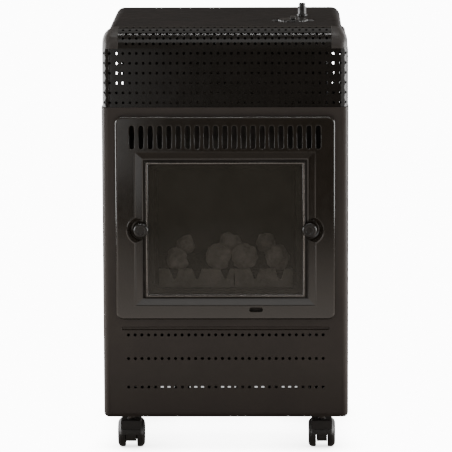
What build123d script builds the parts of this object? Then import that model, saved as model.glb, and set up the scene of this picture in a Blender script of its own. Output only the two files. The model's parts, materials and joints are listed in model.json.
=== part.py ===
from build123d import *
from math import cos, radians, sin
import os

# Portable gas cabinet heater: a wheeled sheet-steel cabinet with a glazed stove front, a perforated
# heat guard over its top edge, ceramic coals on a gas burner, and room for a gas cylinder behind.
# Millimetres. X to the right as seen from the front, Y to the back, Z up, floor at Z = 0.

os.makedirs("parts", exist_ok=True)

# ---------------------------------------------------------------- driving dimensions

# Cabinet
cabinet_width = 420
cabinet_depth = 380
cabinet_bottom = 63
side_top = 700
lid_top = 734
front_panel_top = 600
wall = 1.2
corner_radius = 11
bottom_bend = 4
seat_flange = 14
return_depth = 30
joggle_lap = 12
knob_proud = 15
cover_bulge = 45

# Clearances
fit_gap = 0.3
running_clearance = 0.1

# Lower vents and swage in the front panel
vent_rows = (207.7, 166.5, 116.7)
vent_pitch = 11.5
vent_count = 30
vent_size = 4.4
swage_height = 219
swage_length = 356
swage_width = 6.5
swage_depth = 2

# Base tray
tray_wall = 1.5
tray_height = 8
platform_length = 280
platform_depth = 250
platform_corner = 30
platform_rise = 4
slot_count = 5
slot_pitch = 54.7
slot_length = 28
slot_width = 11
slot_setback = 208

# Perforated guard and corner caps
guard_gap = 0.4
guard_lap = 12
guard_return = 55
guard_corner = 15
guard_crown = 34
crown_folds = 6
corner_folds = 3
perforation_pitch = 11.5
perforation_rise = 16.8
perforation_size = 5.4
face_columns = 33
face_rows = 6
face_top_row = 692
cap_width = 27
cap_inset = 0.8
cap_wall = 1.6
cap_edge = 24
cap_edge_folds = 4

# Lid
lid_width = 401
lid_edge_radius = 16
lid_front_skirt = 12
dish_radius = 38
dish_sides = 32
dish_depth = 10

# Stove front
stove_width = 373.4
stove_height = 349.4
stove_centre = 410.4
stove_proud = 9
stove_corner = 12
stove_edge = 2
stove_wall = 1.5
stove_lap = 10
louvre_count = 21
louvre_pitch = 15.83
louvre_width = 8.6
louvre_height = 40
louvre_centre = 550
bevel_width = 305
bevel_height = 266.5
bevel_slope = 12
bevel_depth = 6
sight_slot_x = 52
sight_slot_height = 253
sight_slot_length = 24
sight_slot_width = 8.6

# Window
window_width = 273.4
window_height = 234.5
window_centre = 390.75
frame_lip = 5.5
frame_side = 2.2
frame_front = 6.2
frame_lip_wall = 1.7
frame_chamfer = 1
glass_thickness = 4

# Clamp knobs
clamp_x = 143.5
clamp_height = 390.6
clamp_radius = 12.7
clamp_sides = 20
clamp_skin = 2
clamp_boss_radius = 20
clamp_boss_sides = 20
stud_radius = 3

# Firebox and fuel bed
firebox_depth = 94
firebox_rear_width = 236
firebox_rear_drop = 8
flange_reach = 51
flange_lower_reach = 36
flange_upper_reach = 20
flue_width = 200
flue_depth = 46
tray_front_setback = 14
tray_shoulder_setback = 40
tray_half_width = 116
tray_thickness = 4
fret_width = 230
fret_height = 32
fret_thickness = 9
fret_setback = 40
fret_seam_x = 14.5
fret_notches = (-89, -49.5, -1, 50, 93)
notch_width = 17
notch_depth = 19
bed_half_width = 112
bed_rear_setback = 91
bed_front_step = 27
bed_rear_step = 52
front_coal_x = (-83, -15.3, 28, 88.8)
front_coal_size = (38, 20, 42)
rear_coal_x = (-73.4, 3.4, 67)
rear_coal_size = (34, 20, 34)
coal_chamfer = 6

# Burner and pilot
burner_radius = 8.5
burner_sides = 12
burner_setback = 70
burner_rise = 13
burner_tunnel = 20
burner_start_x = -100
burner_end_x = 148
burner_bore_length = 230
injector_radius = 3.5
injector_length = 12
injector_hex_radius = 7
injector_hex_length = 9
burner_pipe_radius = 3.2
burner_pipe_bend = 12
burner_pipe_x = 175
pilot_x = 45
pilot_pitch = 14
pilot_setback = 20
pilot_height = 251
pilot_radius = 5
pilot_length = 18
electrode_radius = 3
electrode_length = 20
pilot_stub_radius = 2.5
pilot_stub_length = 5
pilot_bracket_length = 40
pilot_bracket_depth = 28
pilot_pipe_radius = 2.2
pilot_pipe_bend = 10
pilot_pipe_x = 193
pilot_pipe_drop = 17
lead_radius = 1.5
lead_bend = 8
lead_x = 184
lead_drop = 9
lead_clearance = 10

# Partition, deflector and rear rail
partition_setback = 105
partition_width = 350
partition_bottom = 225
partition_top = 640
tab_heights = (310, 560)
tab_height = 20
tab_foot = 12
deflector_width = 336
deflector_lap = 40
deflector_front_setback = 45
deflector_top = 702
deflector_lip = 8
rail_bottom = 655
rail_top = 722
rail_end_top = 695
rail_half_width = 180
notch_half_span = 15
notch_corner = 5
rear_screw_x = (-150, 0, 150)
screw_radius = 2
screw_head_radius = 4
screw_head = 2.5
screw_length = 8

# Gas valve, spindle and control knob
valve_x = 116
valve_setback = 143
valve_length = 34
valve_depth = 44
valve_height = 44
valve_top = 705
neck_radius = 11
neck_height = 7
port_radius = 5
port_length = 8
port_spread = 12
bracket_wall = 1.5
bracket_half_span = 46
bracket_foot = 10
bracket_depth = 40
nipple_nut_radius = 8
nipple_nut_length = 8
nipple_radius = 4.5
nipple_plain = 12
nipple_tip_step = 0.6
nipple_tip_length = 8
nipple_chamfer = 1.5
spindle_radius = 4
spindle_seat = 20
spindle_gap = 1
spindle_top = 731.2
knob_radius = 26.5
knob_flutes = 24
knob_disc = 8
knob_edge = 1.5
knob_grip = 3.4
knob_grip_width = 9
knob_travel = 4

# Piezo igniter
piezo_x = 132
piezo_setback = 215
piezo_bottom = 702
piezo_sides = 12
piezo_body_radius = 8
piezo_collar_radius = 9
piezo_collar_height = 16.7
piezo_edge = 1
button_radius = 6
button_proud = 6.3
button_length = 15
button_travel = 5
nut_radius = 12.5
nut_height = 3.5

# Rear cover and its pivots
cover_top = 592
cover_bottom = 86
cover_margin = 4
bulge_width = 316
bulge_height = 450
bulge_bottom = 104
bulge_slope = 24
cover_vent_count = 9
cover_vent_pitch = 26
cover_vent_width = 7
cover_vent_height = 34
cover_vent_spread = 165
pivot_x = 120
pivot_height = 80
pivot_inset = 8
pivot_radius = 3
lug_radius = 6
lug_width = 12
lug_rise = 14
ear_wall = 3

# Casters
caster_x = 165
caster_front_setback = 45
caster_rear_setback = 45
caster_trail = 14
wheel_radius = 25
wheel_sides = 16
wheel_cap = 3
hood_radius = 28.5
hood_wall = 2.2
hood_width = 47
hood_flat = 31
hood_bottom = 26
web_width = 18.4
web_bottom = 14
axle_radius = 3
stem_radius = 5.5
stem_bottom = 31
socket_radius = 8
socket_height = 24

# ---------------------------------------------------------------- places that several pieces share

front_y = knob_proud - (cabinet_depth + knob_proud + cover_bulge) / 2
rear_y = front_y + cabinet_depth
half_width = cabinet_width / 2
inner_half_width = half_width - wall
inner_front_y = front_y + wall
rear_inner_y = rear_y - wall
tray_bottom = cabinet_bottom + wall
tray_floor = tray_bottom + tray_wall
tray_rim = tray_bottom + tray_height
guard_front_y = inner_front_y + guard_gap
guard_half_width = inner_half_width - guard_gap
guard_bottom = front_panel_top - guard_lap
guard_back_y = front_y + guard_return + guard_lap
face_middle_row = face_top_row - (face_rows - 1) * perforation_rise / 2
crown_end_y = guard_front_y + guard_crown
lid_front_y = crown_end_y + fit_gap
lid_underside = lid_top - wall
rear_screw_height = (side_top + lid_underside) / 2
cap_outer_x = guard_half_width - cap_inset
cap_inner_x = cap_outer_x - cap_width
stove_face_y = front_y - stove_proud
knob_face_y = front_y - knob_proud
window_face_y = front_y - frame_front
glass_face_y = window_face_y + frame_lip_wall
glass_back_y = glass_face_y + glass_thickness
glass_width = window_width - 2 * frame_side - 2 * fit_gap
glass_height = window_height - 2 * frame_side - 2 * fit_gap
opening_width = window_width - 2 * frame_lip
opening_height = window_height - 2 * frame_lip
firebox_floor = window_centre - opening_height / 2
flange_bottom = firebox_floor - flange_lower_reach
flange_top = window_centre + opening_height / 2 + flange_upper_reach
clamp_thickness = knob_proud - frame_front - fit_gap
firebox_back_y = inner_front_y + firebox_depth
burner_tray_top = firebox_floor + tray_thickness
burner_y = front_y + burner_setback
burner_height = burner_tray_top + burner_rise
partition_y = front_y + partition_setback
valve_y = front_y + valve_setback
valve_right_x = valve_x + valve_length / 2
nipple_height = valve_top - valve_height / 2
piezo_y = front_y + piezo_setback
pilot_y = front_y + pilot_setback
pivot_y = rear_y - pivot_inset
cover_y = rear_y + fit_gap
side_signs = {"left": -1, "right": 1}
caster_places = {
    "front_left": (-caster_x, front_y + caster_front_setback),
    "front_right": (caster_x, front_y + caster_front_setback),
    "rear_left": (-caster_x, rear_y - caster_rear_setback),
    "rear_right": (caster_x, rear_y - caster_rear_setback),
}
upright = (Align.CENTER, Align.CENTER, Align.MIN)


def front_plane(y):
    """Plane facing the viewer at depth y, with its local x along X and its local y along Z."""
    return Plane.XZ.offset(-y)


def folded_arc(centre, radius, start, turn, folds):
    """Corner points of an arc that is folded in equal flats, angles in degrees."""
    return [
        (
            centre[0] + radius * cos(radians(start + turn * step / folds)),
            centre[1] + radius * sin(radians(start + turn * step / folds)),
        )
        for step in range(folds + 1)
    ]


def mitred(points, bend):
    """The route through the points with each corner cut back by the bend's length."""
    corners = [Vector(*point) for point in points]
    stops = [corners[0]]
    for before, corner, after in zip(corners, corners[1:], corners[2:]):
        stops.append(corner + (before - corner).normalized() * bend)
        stops.append(corner + (after - corner).normalized() * bend)
    stops.append(corners[-1])
    return stops


# ---------------------------------------------------------------- base tray with its caster sockets

tray_middle_y = partition_y + platform_depth / 2
with BuildPart() as base_tray:
    with BuildSketch(Plane.XY.offset(tray_bottom)):
        with Locations((0, inner_front_y)):
            Rectangle(2 * inner_half_width, rear_inner_y - inner_front_y, align=(Align.CENTER, Align.MIN))
        fillet(vertices().group_by(Axis.Y)[0], corner_radius - wall)
    extrude(amount=tray_height)
    chamfer(faces().sort_by(Axis.Z)[0].edges().sort_by(Axis.Y)[:-1], bottom_bend)
    offset(amount=-tray_wall, openings=faces().sort_by(Axis.Z)[-1])
    # The cylinder stands on a pressed platform, hollow below.
    with BuildSketch(Plane.XY.offset(tray_floor)):
        with Locations((0, tray_middle_y)):
            Rectangle(platform_length, platform_depth)
        chamfer(vertices(), platform_corner)
    extrude(amount=platform_rise)
    with BuildSketch(Plane.XY.offset(tray_bottom)):
        with Locations((0, tray_middle_y)):
            Rectangle(platform_length - 2 * tray_wall, platform_depth - 2 * tray_wall)
        chamfer(vertices(), platform_corner - tray_wall)
    extrude(amount=platform_rise, mode=Mode.SUBTRACT)
    with BuildSketch(Plane.XY.offset(tray_bottom)):
        with Locations((0, front_y + slot_setback)):
            with GridLocations(slot_pitch, 1, slot_count, 1):
                Rectangle(slot_length, slot_width)
    extrude(amount=tray_height, mode=Mode.SUBTRACT)
    with BuildSketch(Plane.XY.offset(tray_bottom)):
        with Locations(*caster_places.values()):
            RegularPolygon(stem_radius + fit_gap, 8, major_radius=False)
    extrude(amount=tray_height, mode=Mode.SUBTRACT)
    # Upright ears at the back, each with a pin that the rear cover turns on.
    for sign in (-1, 1):
        ear_x = sign * (pivot_x + lug_width / 2 + fit_gap)
        with Locations((ear_x, pivot_y, tray_floor)):
            Box(
                ear_wall,
                2 * pivot_radius + ear_wall,
                pivot_height + pivot_radius + ear_wall - tray_floor,
                align=(Align.MIN if sign > 0 else Align.MAX, Align.CENTER, Align.MIN),
            )
        with BuildSketch(Plane.YZ.offset(ear_x)):
            with Locations((pivot_y, pivot_height)):
                RegularPolygon(pivot_radius, 8)
        extrude(amount=-sign * (lug_width + 2 * fit_gap))
base_tray.part.label = "base_tray"
export_step(base_tray.part, "parts/base_tray.step")

with BuildPart() as caster_sockets:
    with BuildSketch(Plane.XY.offset(tray_floor)):
        with Locations(*caster_places.values()):
            RegularPolygon(socket_radius, 8)
            RegularPolygon(stem_radius + running_clearance, 8, major_radius=False, mode=Mode.SUBTRACT)
    extrude(amount=socket_height)
caster_sockets.part.label = "caster_sockets"
export_step(caster_sockets.part, "parts/caster_sockets.step")

# ---------------------------------------------------------------- front panel

with BuildPart() as front_panel:
    with BuildSketch(Plane.XY.offset(cabinet_bottom)):
        with Locations((0, front_y)):
            Rectangle(cabinet_width, return_depth, align=(Align.CENTER, Align.MIN))
        fillet(vertices().group_by(Axis.Y)[0], corner_radius)
    extrude(amount=front_panel_top - cabinet_bottom)
    chamfer(faces().sort_by(Axis.Z)[0].edges().sort_by(Axis.Y)[:-1], bottom_bend)
    offset(amount=-wall, openings=[faces().sort_by(Axis.Z)[-1], faces().sort_by(Axis.Y)[-1]])
    # The turned-in lower edge is a flange that carries the base tray.
    with BuildSketch(Plane.XY.offset(cabinet_bottom)):
        with Locations((0, front_y + seat_flange)):
            Rectangle(cabinet_width - 2 * seat_flange, return_depth, align=(Align.CENTER, Align.MIN))
    extrude(amount=wall, mode=Mode.SUBTRACT)
    # Opening behind the stove front.
    with BuildSketch(front_plane(front_y)):
        with Locations((0, stove_centre)):
            Rectangle(stove_width - 2 * stove_lap, stove_height - 2 * stove_lap)
    extrude(amount=-wall, mode=Mode.SUBTRACT)
    # Stiffening swage, pressed inwards, with clipped ends.
    with BuildSketch(front_plane(inner_front_y)):
        with Locations((0, swage_height)):
            Rectangle(swage_length + 2 * wall, swage_width + 2 * wall)
        chamfer(vertices(), swage_width / 3)
    extrude(amount=-swage_depth)
    with BuildSketch(front_plane(front_y)):
        with Locations((0, swage_height)):
            Rectangle(swage_length, swage_width)
        chamfer(vertices(), swage_width / 3)
    extrude(amount=-swage_depth, mode=Mode.SUBTRACT)
    with BuildSketch(front_plane(front_y)):
        for row_height in vent_rows:
            with Locations((0, row_height)):
                with GridLocations(vent_pitch, 1, vent_count, 1):
                    Rectangle(vent_size, vent_size, rotation=45)
    extrude(amount=-wall, mode=Mode.SUBTRACT)
front_panel.part.label = "front_panel"
export_step(front_panel.part, "parts/front_panel.step")

# ---------------------------------------------------------------- side panels

panel_start_y = front_y + return_depth
tongue_bottom = tray_rim + fit_gap
with BuildPart() as right_side_panel:
    with BuildSketch(front_plane(panel_start_y)):
        with BuildLine():
            Polyline(
                (half_width - seat_flange, cabinet_bottom),
                (half_width - bottom_bend, cabinet_bottom),
                (half_width, cabinet_bottom + bottom_bend),
                (half_width, side_top),
                (half_width - 2 * seat_flange, side_top),
            )
            offset(amount=wall, side=Side.LEFT, kind=Kind.INTERSECTION)
        make_face()
    extrude(amount=panel_start_y - rear_y)
    # The guard takes the place of the upper front corner.
    with Locations((half_width, panel_start_y, front_panel_top)):
        Box(
            4 * seat_flange,
            guard_return - return_depth,
            side_top - front_panel_top,
            align=(Align.CENTER, Align.MIN, Align.MIN),
            mode=Mode.SUBTRACT,
        )
    # Joggled tongue behind the front panel's return.
    with Locations((inner_half_width, panel_start_y - joggle_lap, tongue_bottom)):
        Box(
            wall,
            2 * joggle_lap,
            guard_bottom - fit_gap - tongue_bottom,
            align=(Align.MAX, Align.MIN, Align.MIN),
        )
    # Rear flange that the cover closes against.
    with Locations((inner_half_width, rear_y, tongue_bottom)):
        Box(
            seat_flange,
            wall,
            cover_top - tongue_bottom,
            align=(Align.MAX, Align.MAX, Align.MIN),
        )
right_side_panel.part.label = "right_side_panel"
export_step(right_side_panel.part, "parts/right_side_panel.step")

with BuildPart() as left_side_panel:
    mirror(right_side_panel.part, about=Plane.YZ)
left_side_panel.part.label = "left_side_panel"
export_step(left_side_panel.part, "parts/left_side_panel.step")

# ---------------------------------------------------------------- perforated wrap-around guard

# One sheet, folded in narrow flats round both corners and over the crown.
bend_x = guard_half_width - guard_corner
bend_y = guard_front_y + guard_corner
crown_centre = (crown_end_y, side_top)
right_corner = folded_arc((bend_x, bend_y), guard_corner, 0, -90, corner_folds)
left_corner = [(-x, y) for x, y in reversed(right_corner)]
crown_outline = folded_arc(crown_centre, guard_crown, 180, -90, crown_folds)

with BuildPart() as perforated_guard:
    with BuildSketch(Plane.XY.offset(guard_bottom)):
        with BuildLine():
            Polyline(
                (guard_half_width, guard_back_y),
                *right_corner,
                *left_corner,
                (-guard_half_width, guard_back_y),
            )
            offset(amount=wall, side=Side.RIGHT, kind=Kind.INTERSECTION)
        make_face()
    extrude(amount=side_top - guard_bottom)
    # The lap behind the side panels stops short of their top flange.
    with Locations((0, front_y + guard_return, side_top)):
        Box(
            cabinet_width,
            2 * guard_lap,
            wall + fit_gap,
            align=(Align.CENTER, Align.MIN, Align.MAX),
            mode=Mode.SUBTRACT,
        )
    # Crown that curves back to the lid, between the corner caps.
    with BuildSketch(Plane.YZ.offset(-cap_inner_x)):
        with BuildLine():
            Polyline(*crown_outline)
            offset(amount=wall, side=Side.RIGHT, kind=Kind.INTERSECTION)
        make_face()
    extrude(amount=2 * cap_inner_x)
    # Ledges at the sides that the lid stands on.
    for sign in side_signs.values():
        with Locations((sign * guard_half_width, crown_end_y, side_top)):
            Box(
                seat_flange,
                front_y + guard_return - crown_end_y,
                wall,
                align=(Align.MAX if sign > 0 else Align.MIN, Align.MIN, Align.MAX),
            )
    # Perforations of the flat face.
    with BuildSketch(front_plane(guard_front_y)):
        with Locations((0, face_middle_row)):
            with GridLocations(perforation_pitch, perforation_rise, face_columns, face_rows):
                Rectangle(perforation_size, perforation_size)
    extrude(amount=-wall, mode=Mode.SUBTRACT)
perforated_guard.part.label = "perforated_guard"
export_step(perforated_guard.part, "parts/perforated_guard.step")

# ---------------------------------------------------------------- corner caps

with BuildPart() as corner_cap_right:
    with BuildSketch(Plane.XY.offset(side_top)):
        Polygon(
            (cap_inner_x, crown_end_y),
            (cap_inner_x, guard_front_y),
            *folded_arc((cap_outer_x - guard_corner, bend_y), guard_corner, -90, 90, corner_folds),
            (cap_outer_x, crown_end_y),
            align=None,
        )
    extrude(amount=lid_top - side_top)
    with BuildSketch(Plane.YZ.offset(cap_inner_x)):
        Polygon(*crown_outline, crown_centre, align=None)
    extrude(amount=cap_width, mode=Mode.INTERSECT)
    with BuildSketch(front_plane(guard_front_y)):
        Polygon(
            (cap_inner_x, side_top),
            (cap_outer_x, side_top),
            *folded_arc((cap_outer_x - cap_edge, lid_top - cap_edge), cap_edge, 0, 90, cap_edge_folds),
            (cap_inner_x, lid_top),
            align=None,
        )
    extrude(amount=-guard_crown, mode=Mode.INTERSECT)
    offset(
        amount=-cap_wall,
        openings=[
            faces().sort_by(Axis.Z)[0],
            faces().sort_by(Axis.Y)[-1],
            faces().sort_by(Axis.X)[0],
        ],
        kind=Kind.INTERSECTION,
    )
corner_cap_right.part.label = "corner_cap_right"
export_step(corner_cap_right.part, "parts/corner_cap_right.step")

with BuildPart() as corner_cap_left:
    mirror(corner_cap_right.part, about=Plane.YZ)
corner_cap_left.part.label = "corner_cap_left"
export_step(corner_cap_left.part, "parts/corner_cap_left.step")

# ---------------------------------------------------------------- lid with its pressed dial dish

with BuildPart() as top_lid:
    with BuildSketch(Plane.XY.offset(side_top)):
        with Locations((0, lid_front_y)):
            Rectangle(lid_width, rear_y - lid_front_y, align=(Align.CENTER, Align.MIN))
    extrude(amount=lid_top - side_top)
    fillet(faces().sort_by(Axis.Z)[-1].edges().filter_by(Axis.Y), lid_edge_radius)
    offset(amount=-wall, openings=faces().sort_by(Axis.Z)[0])
    # The front skirt is short, so that warm air reaches the guard.
    with Locations((0, lid_front_y, side_top)):
        Box(
            2 * cap_inner_x,
            2 * wall,
            lid_top - side_top - lid_front_skirt,
            align=(Align.CENTER, Align.MIN, Align.MIN),
            mode=Mode.SUBTRACT,
        )
    # Round dish, pressed down, with the spindle's hole in its floor.
    with BuildSketch(Plane.XY.offset(lid_top)):
        with Locations((valve_x, valve_y)):
            RegularPolygon(dish_radius, dish_sides)
    extrude(amount=-dish_depth - wall)
    with BuildSketch(Plane.XY.offset(lid_top)):
        with Locations((valve_x, valve_y)):
            RegularPolygon(dish_radius - wall, dish_sides)
    extrude(amount=-dish_depth, mode=Mode.SUBTRACT)
    with BuildSketch(Plane.XY.offset(lid_top)):
        with Locations((valve_x, valve_y)):
            RegularPolygon(spindle_radius + spindle_gap, 12)
        with Locations((piezo_x, piezo_y)):
            RegularPolygon(piezo_body_radius + running_clearance, piezo_sides)
    extrude(amount=-dish_depth - 2 * wall, mode=Mode.SUBTRACT)
    with BuildSketch(front_plane(rear_y)):
        with Locations(*[(x, rear_screw_height) for x in rear_screw_x]):
            RegularPolygon(screw_radius + running_clearance, 6)
    extrude(amount=wall, mode=Mode.SUBTRACT)
top_lid.part.label = "top_lid"
export_step(top_lid.part, "parts/top_lid.step")

# ---------------------------------------------------------------- stove front with its louvres

clamp_points = [(sign * clamp_x, clamp_height) for sign in side_signs.values()]
with BuildPart() as stove_front:
    with BuildSketch(front_plane(front_y)):
        with Locations((0, stove_centre)):
            RectangleRounded(stove_width, stove_height, stove_corner)
    extrude(amount=stove_proud)
    chamfer(faces().sort_by(Axis.Y)[0].edges(), stove_edge)
    offset(amount=-stove_wall, openings=faces().sort_by(Axis.Y)[-1])
    # Bevel round the window, and round bosses for the clamp knobs that break into it: first the
    # sheet of both, then their hollows, right through.
    for sheet, mode in ((stove_wall, Mode.ADD), (0, Mode.SUBTRACT)):
        for depth in (0, bevel_depth + stove_wall):
            inset = bevel_slope * depth / bevel_depth - sheet
            with BuildSketch(front_plane(stove_face_y + depth)):
                with Locations((0, window_centre)):
                    Rectangle(bevel_width - 2 * inset, bevel_height - 2 * inset)
        loft(ruled=True, mode=mode)
        with BuildSketch(front_plane(stove_face_y)):
            with Locations(*clamp_points):
                RegularPolygon(clamp_boss_radius + sheet, clamp_boss_sides)
        extrude(amount=-bevel_depth - stove_wall, mode=mode)
    # Upright louvre slots with clipped corners.
    with BuildSketch(front_plane(stove_face_y)):
        with Locations((0, louvre_centre)):
            with GridLocations(louvre_pitch, 1, louvre_count, 1):
                Rectangle(louvre_width, louvre_height)
        chamfer(vertices(), louvre_width / 4)
    extrude(amount=-stove_wall, mode=Mode.SUBTRACT)
    # Slot for watching the pilot flame.
    with BuildSketch(front_plane(stove_face_y)):
        with Locations((sight_slot_x, sight_slot_height)):
            Rectangle(sight_slot_length, sight_slot_width)
        chamfer(vertices(), sight_slot_width / 4)
    extrude(amount=-stove_proud, mode=Mode.SUBTRACT)
stove_front.part.label = "stove_front"
export_step(stove_front.part, "parts/stove_front.step")

# ---------------------------------------------------------------- window

with BuildPart() as window_frame:
    with BuildSketch(front_plane(window_face_y)):
        with Locations((0, window_centre)):
            Rectangle(window_width, window_height)
    extrude(amount=-(glass_back_y - window_face_y))
    chamfer(faces().sort_by(Axis.Y)[0].edges(), frame_chamfer)
    with BuildSketch(front_plane(glass_face_y)):
        with Locations((0, window_centre)):
            Rectangle(window_width - 2 * frame_side, window_height - 2 * frame_side)
    extrude(amount=-glass_thickness, mode=Mode.SUBTRACT)
    with BuildSketch(front_plane(window_face_y)):
        with Locations((0, window_centre)):
            Rectangle(opening_width, opening_height)
    extrude(amount=-frame_lip_wall, mode=Mode.SUBTRACT)
window_frame.part.label = "window_frame"
export_step(window_frame.part, "parts/window_frame.step")

with BuildPart() as window_glass:
    with BuildSketch(front_plane(glass_face_y)):
        with Locations((0, window_centre)):
            Rectangle(glass_width, glass_height)
    extrude(amount=-glass_thickness)
window_glass.part.label = "window_glass"
export_step(window_glass.part, "parts/window_glass.step")

with BuildPart() as glass_seal:
    with BuildSketch(front_plane(glass_back_y)):
        with Locations((0, window_centre)):
            Rectangle(glass_width, glass_height)
            Rectangle(opening_width, opening_height, mode=Mode.SUBTRACT)
    extrude(amount=-(inner_front_y - glass_back_y))
glass_seal.part.label = "glass_seal"
export_step(glass_seal.part, "parts/glass_seal.step")

# ---------------------------------------------------------------- clamp studs and knobs

with BuildPart() as clamp_studs:
    with BuildSketch(front_plane(inner_front_y)):
        with Locations(*clamp_points):
            RegularPolygon(stud_radius, 8)
    extrude(amount=inner_front_y - knob_face_y - clamp_skin - fit_gap)
clamp_studs.part.label = "clamp_studs"
export_step(clamp_studs.part, "parts/clamp_studs.step")

for side, sign in side_signs.items():
    with BuildPart() as clamp_knob:
        with BuildSketch(front_plane(knob_face_y)):
            with Locations((sign * clamp_x, clamp_height)):
                RegularPolygon(clamp_radius, clamp_sides)
        extrude(amount=-clamp_thickness)
        chamfer(faces().sort_by(Axis.Y)[0].edges(), clamp_skin)
        with BuildSketch(front_plane(knob_face_y + clamp_skin)):
            with Locations((sign * clamp_x, clamp_height)):
                RegularPolygon(stud_radius + running_clearance, 8, major_radius=False)
        extrude(amount=-clamp_thickness, mode=Mode.SUBTRACT)
    clamp_knob.part.label = f"clamp_knob_{side}"
    export_step(clamp_knob.part, f"parts/clamp_knob_{side}.step")

# ---------------------------------------------------------------- firebox

with BuildPart() as firebox:
    for grow, mode in ((wall, Mode.ADD), (0, Mode.SUBTRACT)):
        with BuildSketch(front_plane(inner_front_y)):
            with Locations((0, window_centre)):
                Rectangle(opening_width + 2 * grow, opening_height + 2 * grow)
        with BuildSketch(front_plane(firebox_back_y - wall + grow)):
            with Locations((0, firebox_floor - grow)):
                Rectangle(
                    firebox_rear_width + 2 * grow,
                    opening_height - firebox_rear_drop + 2 * grow,
                    align=(Align.CENTER, Align.MIN),
                )
        loft(mode=mode)
    with BuildSketch(front_plane(inner_front_y)):
        with Locations((0, (flange_bottom + flange_top) / 2)):
            Rectangle(opening_width + 2 * flange_reach, flange_top - flange_bottom)
        with Locations((0, window_centre)):
            Rectangle(opening_width, opening_height, mode=Mode.SUBTRACT)
    extrude(amount=-wall)
    # Flue opening in the top.
    with BuildSketch(Plane.XY.offset(window_centre)):
        with Locations((0, firebox_back_y - firebox_depth / 2)):
            Rectangle(flue_width, flue_depth)
    extrude(amount=opening_height, mode=Mode.SUBTRACT)
    # The burner enters through the right side.
    with BuildSketch(Plane.YZ):
        with Locations((burner_y, burner_height)):
            RegularPolygon(burner_radius + running_clearance, burner_sides, major_radius=False)
    extrude(amount=half_width, mode=Mode.SUBTRACT)
firebox.part.label = "firebox"
export_step(firebox.part, "parts/firebox.step")

# ---------------------------------------------------------------- fuel bed: tray, fret, ceramic bed and coals

with BuildPart() as burner_tray:
    with BuildSketch(Plane.XY.offset(firebox_floor)):
        with BuildLine():
            rear = Polyline(
                (tray_half_width, front_y + tray_shoulder_setback),
                (tray_half_width, front_y + bed_rear_setback),
                (-tray_half_width, front_y + bed_rear_setback),
                (-tray_half_width, front_y + tray_shoulder_setback),
            )
            ThreePointArc(rear @ 1, (0, front_y + tray_front_setback), rear @ 0)
        make_face()
    extrude(amount=tray_thickness)
burner_tray.part.label = "burner_tray"
export_step(burner_tray.part, "parts/burner_tray.step")

with BuildPart() as ceramic_fret:
    with BuildSketch(front_plane(front_y + fret_setback)):
        with Locations((0, burner_tray_top)):
            Rectangle(fret_width, fret_height, align=(Align.CENTER, Align.MIN))
        for notch_x in fret_notches:
            with Locations((notch_x, burner_tray_top + fret_height)):
                Polygon(
                    (-notch_width / 2, 0),
                    (notch_width / 2, 0),
                    (0, -notch_depth),
                    align=None,
                    mode=Mode.SUBTRACT,
                )
        with Locations((fret_seam_x, burner_tray_top)):
            Rectangle(fit_gap, fret_height, align=(Align.CENTER, Align.MIN), mode=Mode.SUBTRACT)
    extrude(amount=-fret_thickness)
ceramic_fret.part.label = "ceramic_fret"
export_step(ceramic_fret.part, "parts/ceramic_fret.step")

bed_front_y = front_y + fret_setback + fret_thickness
bed_rear_y = front_y + bed_rear_setback
front_ledge = burner_tray_top + bed_front_step
rear_ledge = burner_tray_top + bed_rear_step
with BuildPart() as ember_bed:
    with BuildSketch(Plane.YZ.offset(-bed_half_width)):
        Polygon(
            (bed_front_y, burner_tray_top),
            (bed_rear_y, burner_tray_top),
            (bed_rear_y, rear_ledge),
            (burner_y, rear_ledge),
            (burner_y, front_ledge),
            (bed_front_y, front_ledge),
            align=None,
        )
        with Locations((burner_y, burner_height)):
            Rectangle(burner_tunnel, burner_tunnel, mode=Mode.SUBTRACT)
    extrude(amount=2 * bed_half_width)
ember_bed.part.label = "ember_bed"
export_step(ember_bed.part, "parts/ember_bed.step")

coal_rows = {
    "front_coals": (front_coal_x, front_coal_size, (bed_front_y + burner_y) / 2, front_ledge),
    "rear_coals": (rear_coal_x, rear_coal_size, (burner_y + bed_rear_y) / 2, rear_ledge),
}
for row_name, (places_x, coal_size, row_y, ledge) in coal_rows.items():
    with BuildPart() as coals:
        with Locations(*[(x, row_y, ledge) for x in places_x]):
            Box(*coal_size, align=upright)
        chamfer(edges(), coal_chamfer)
    coals.part.label = row_name
    export_step(coals.part, f"parts/{row_name}.step")

# ---------------------------------------------------------------- burner and its injector

with BuildPart() as burner_tube:
    with BuildSketch(Plane.YZ.offset(burner_start_x)):
        with Locations((burner_y, burner_height)):
            RegularPolygon(burner_radius, burner_sides, major_radius=False)
    extrude(amount=burner_end_x - burner_start_x)
    with BuildSketch(Plane.YZ.offset(burner_end_x - burner_bore_length)):
        with Locations((burner_y, burner_height)):
            RegularPolygon(burner_radius - wall, burner_sides, major_radius=False)
    extrude(amount=burner_bore_length - wall, mode=Mode.SUBTRACT)
    with BuildSketch(Plane.YZ.offset(burner_end_x)):
        with Locations((burner_y, burner_height)):
            RegularPolygon(injector_radius, 6)
    extrude(amount=-2 * wall, mode=Mode.SUBTRACT)
burner_tube.part.label = "burner_tube"
export_step(burner_tube.part, "parts/burner_tube.step")

with BuildPart() as injector:
    with BuildSketch(Plane.YZ.offset(burner_end_x - injector_length)):
        with Locations((burner_y, burner_height)):
            RegularPolygon(injector_radius, 6)
    extrude(amount=injector_length)
    with BuildSketch(Plane.YZ.offset(burner_end_x)):
        with Locations((burner_y, burner_height)):
            RegularPolygon(injector_hex_radius, 6)
    extrude(amount=injector_hex_length)
injector.part.label = "injector"
export_step(injector.part, "parts/injector.step")

# ---------------------------------------------------------------- pilot group on its bracket

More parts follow.
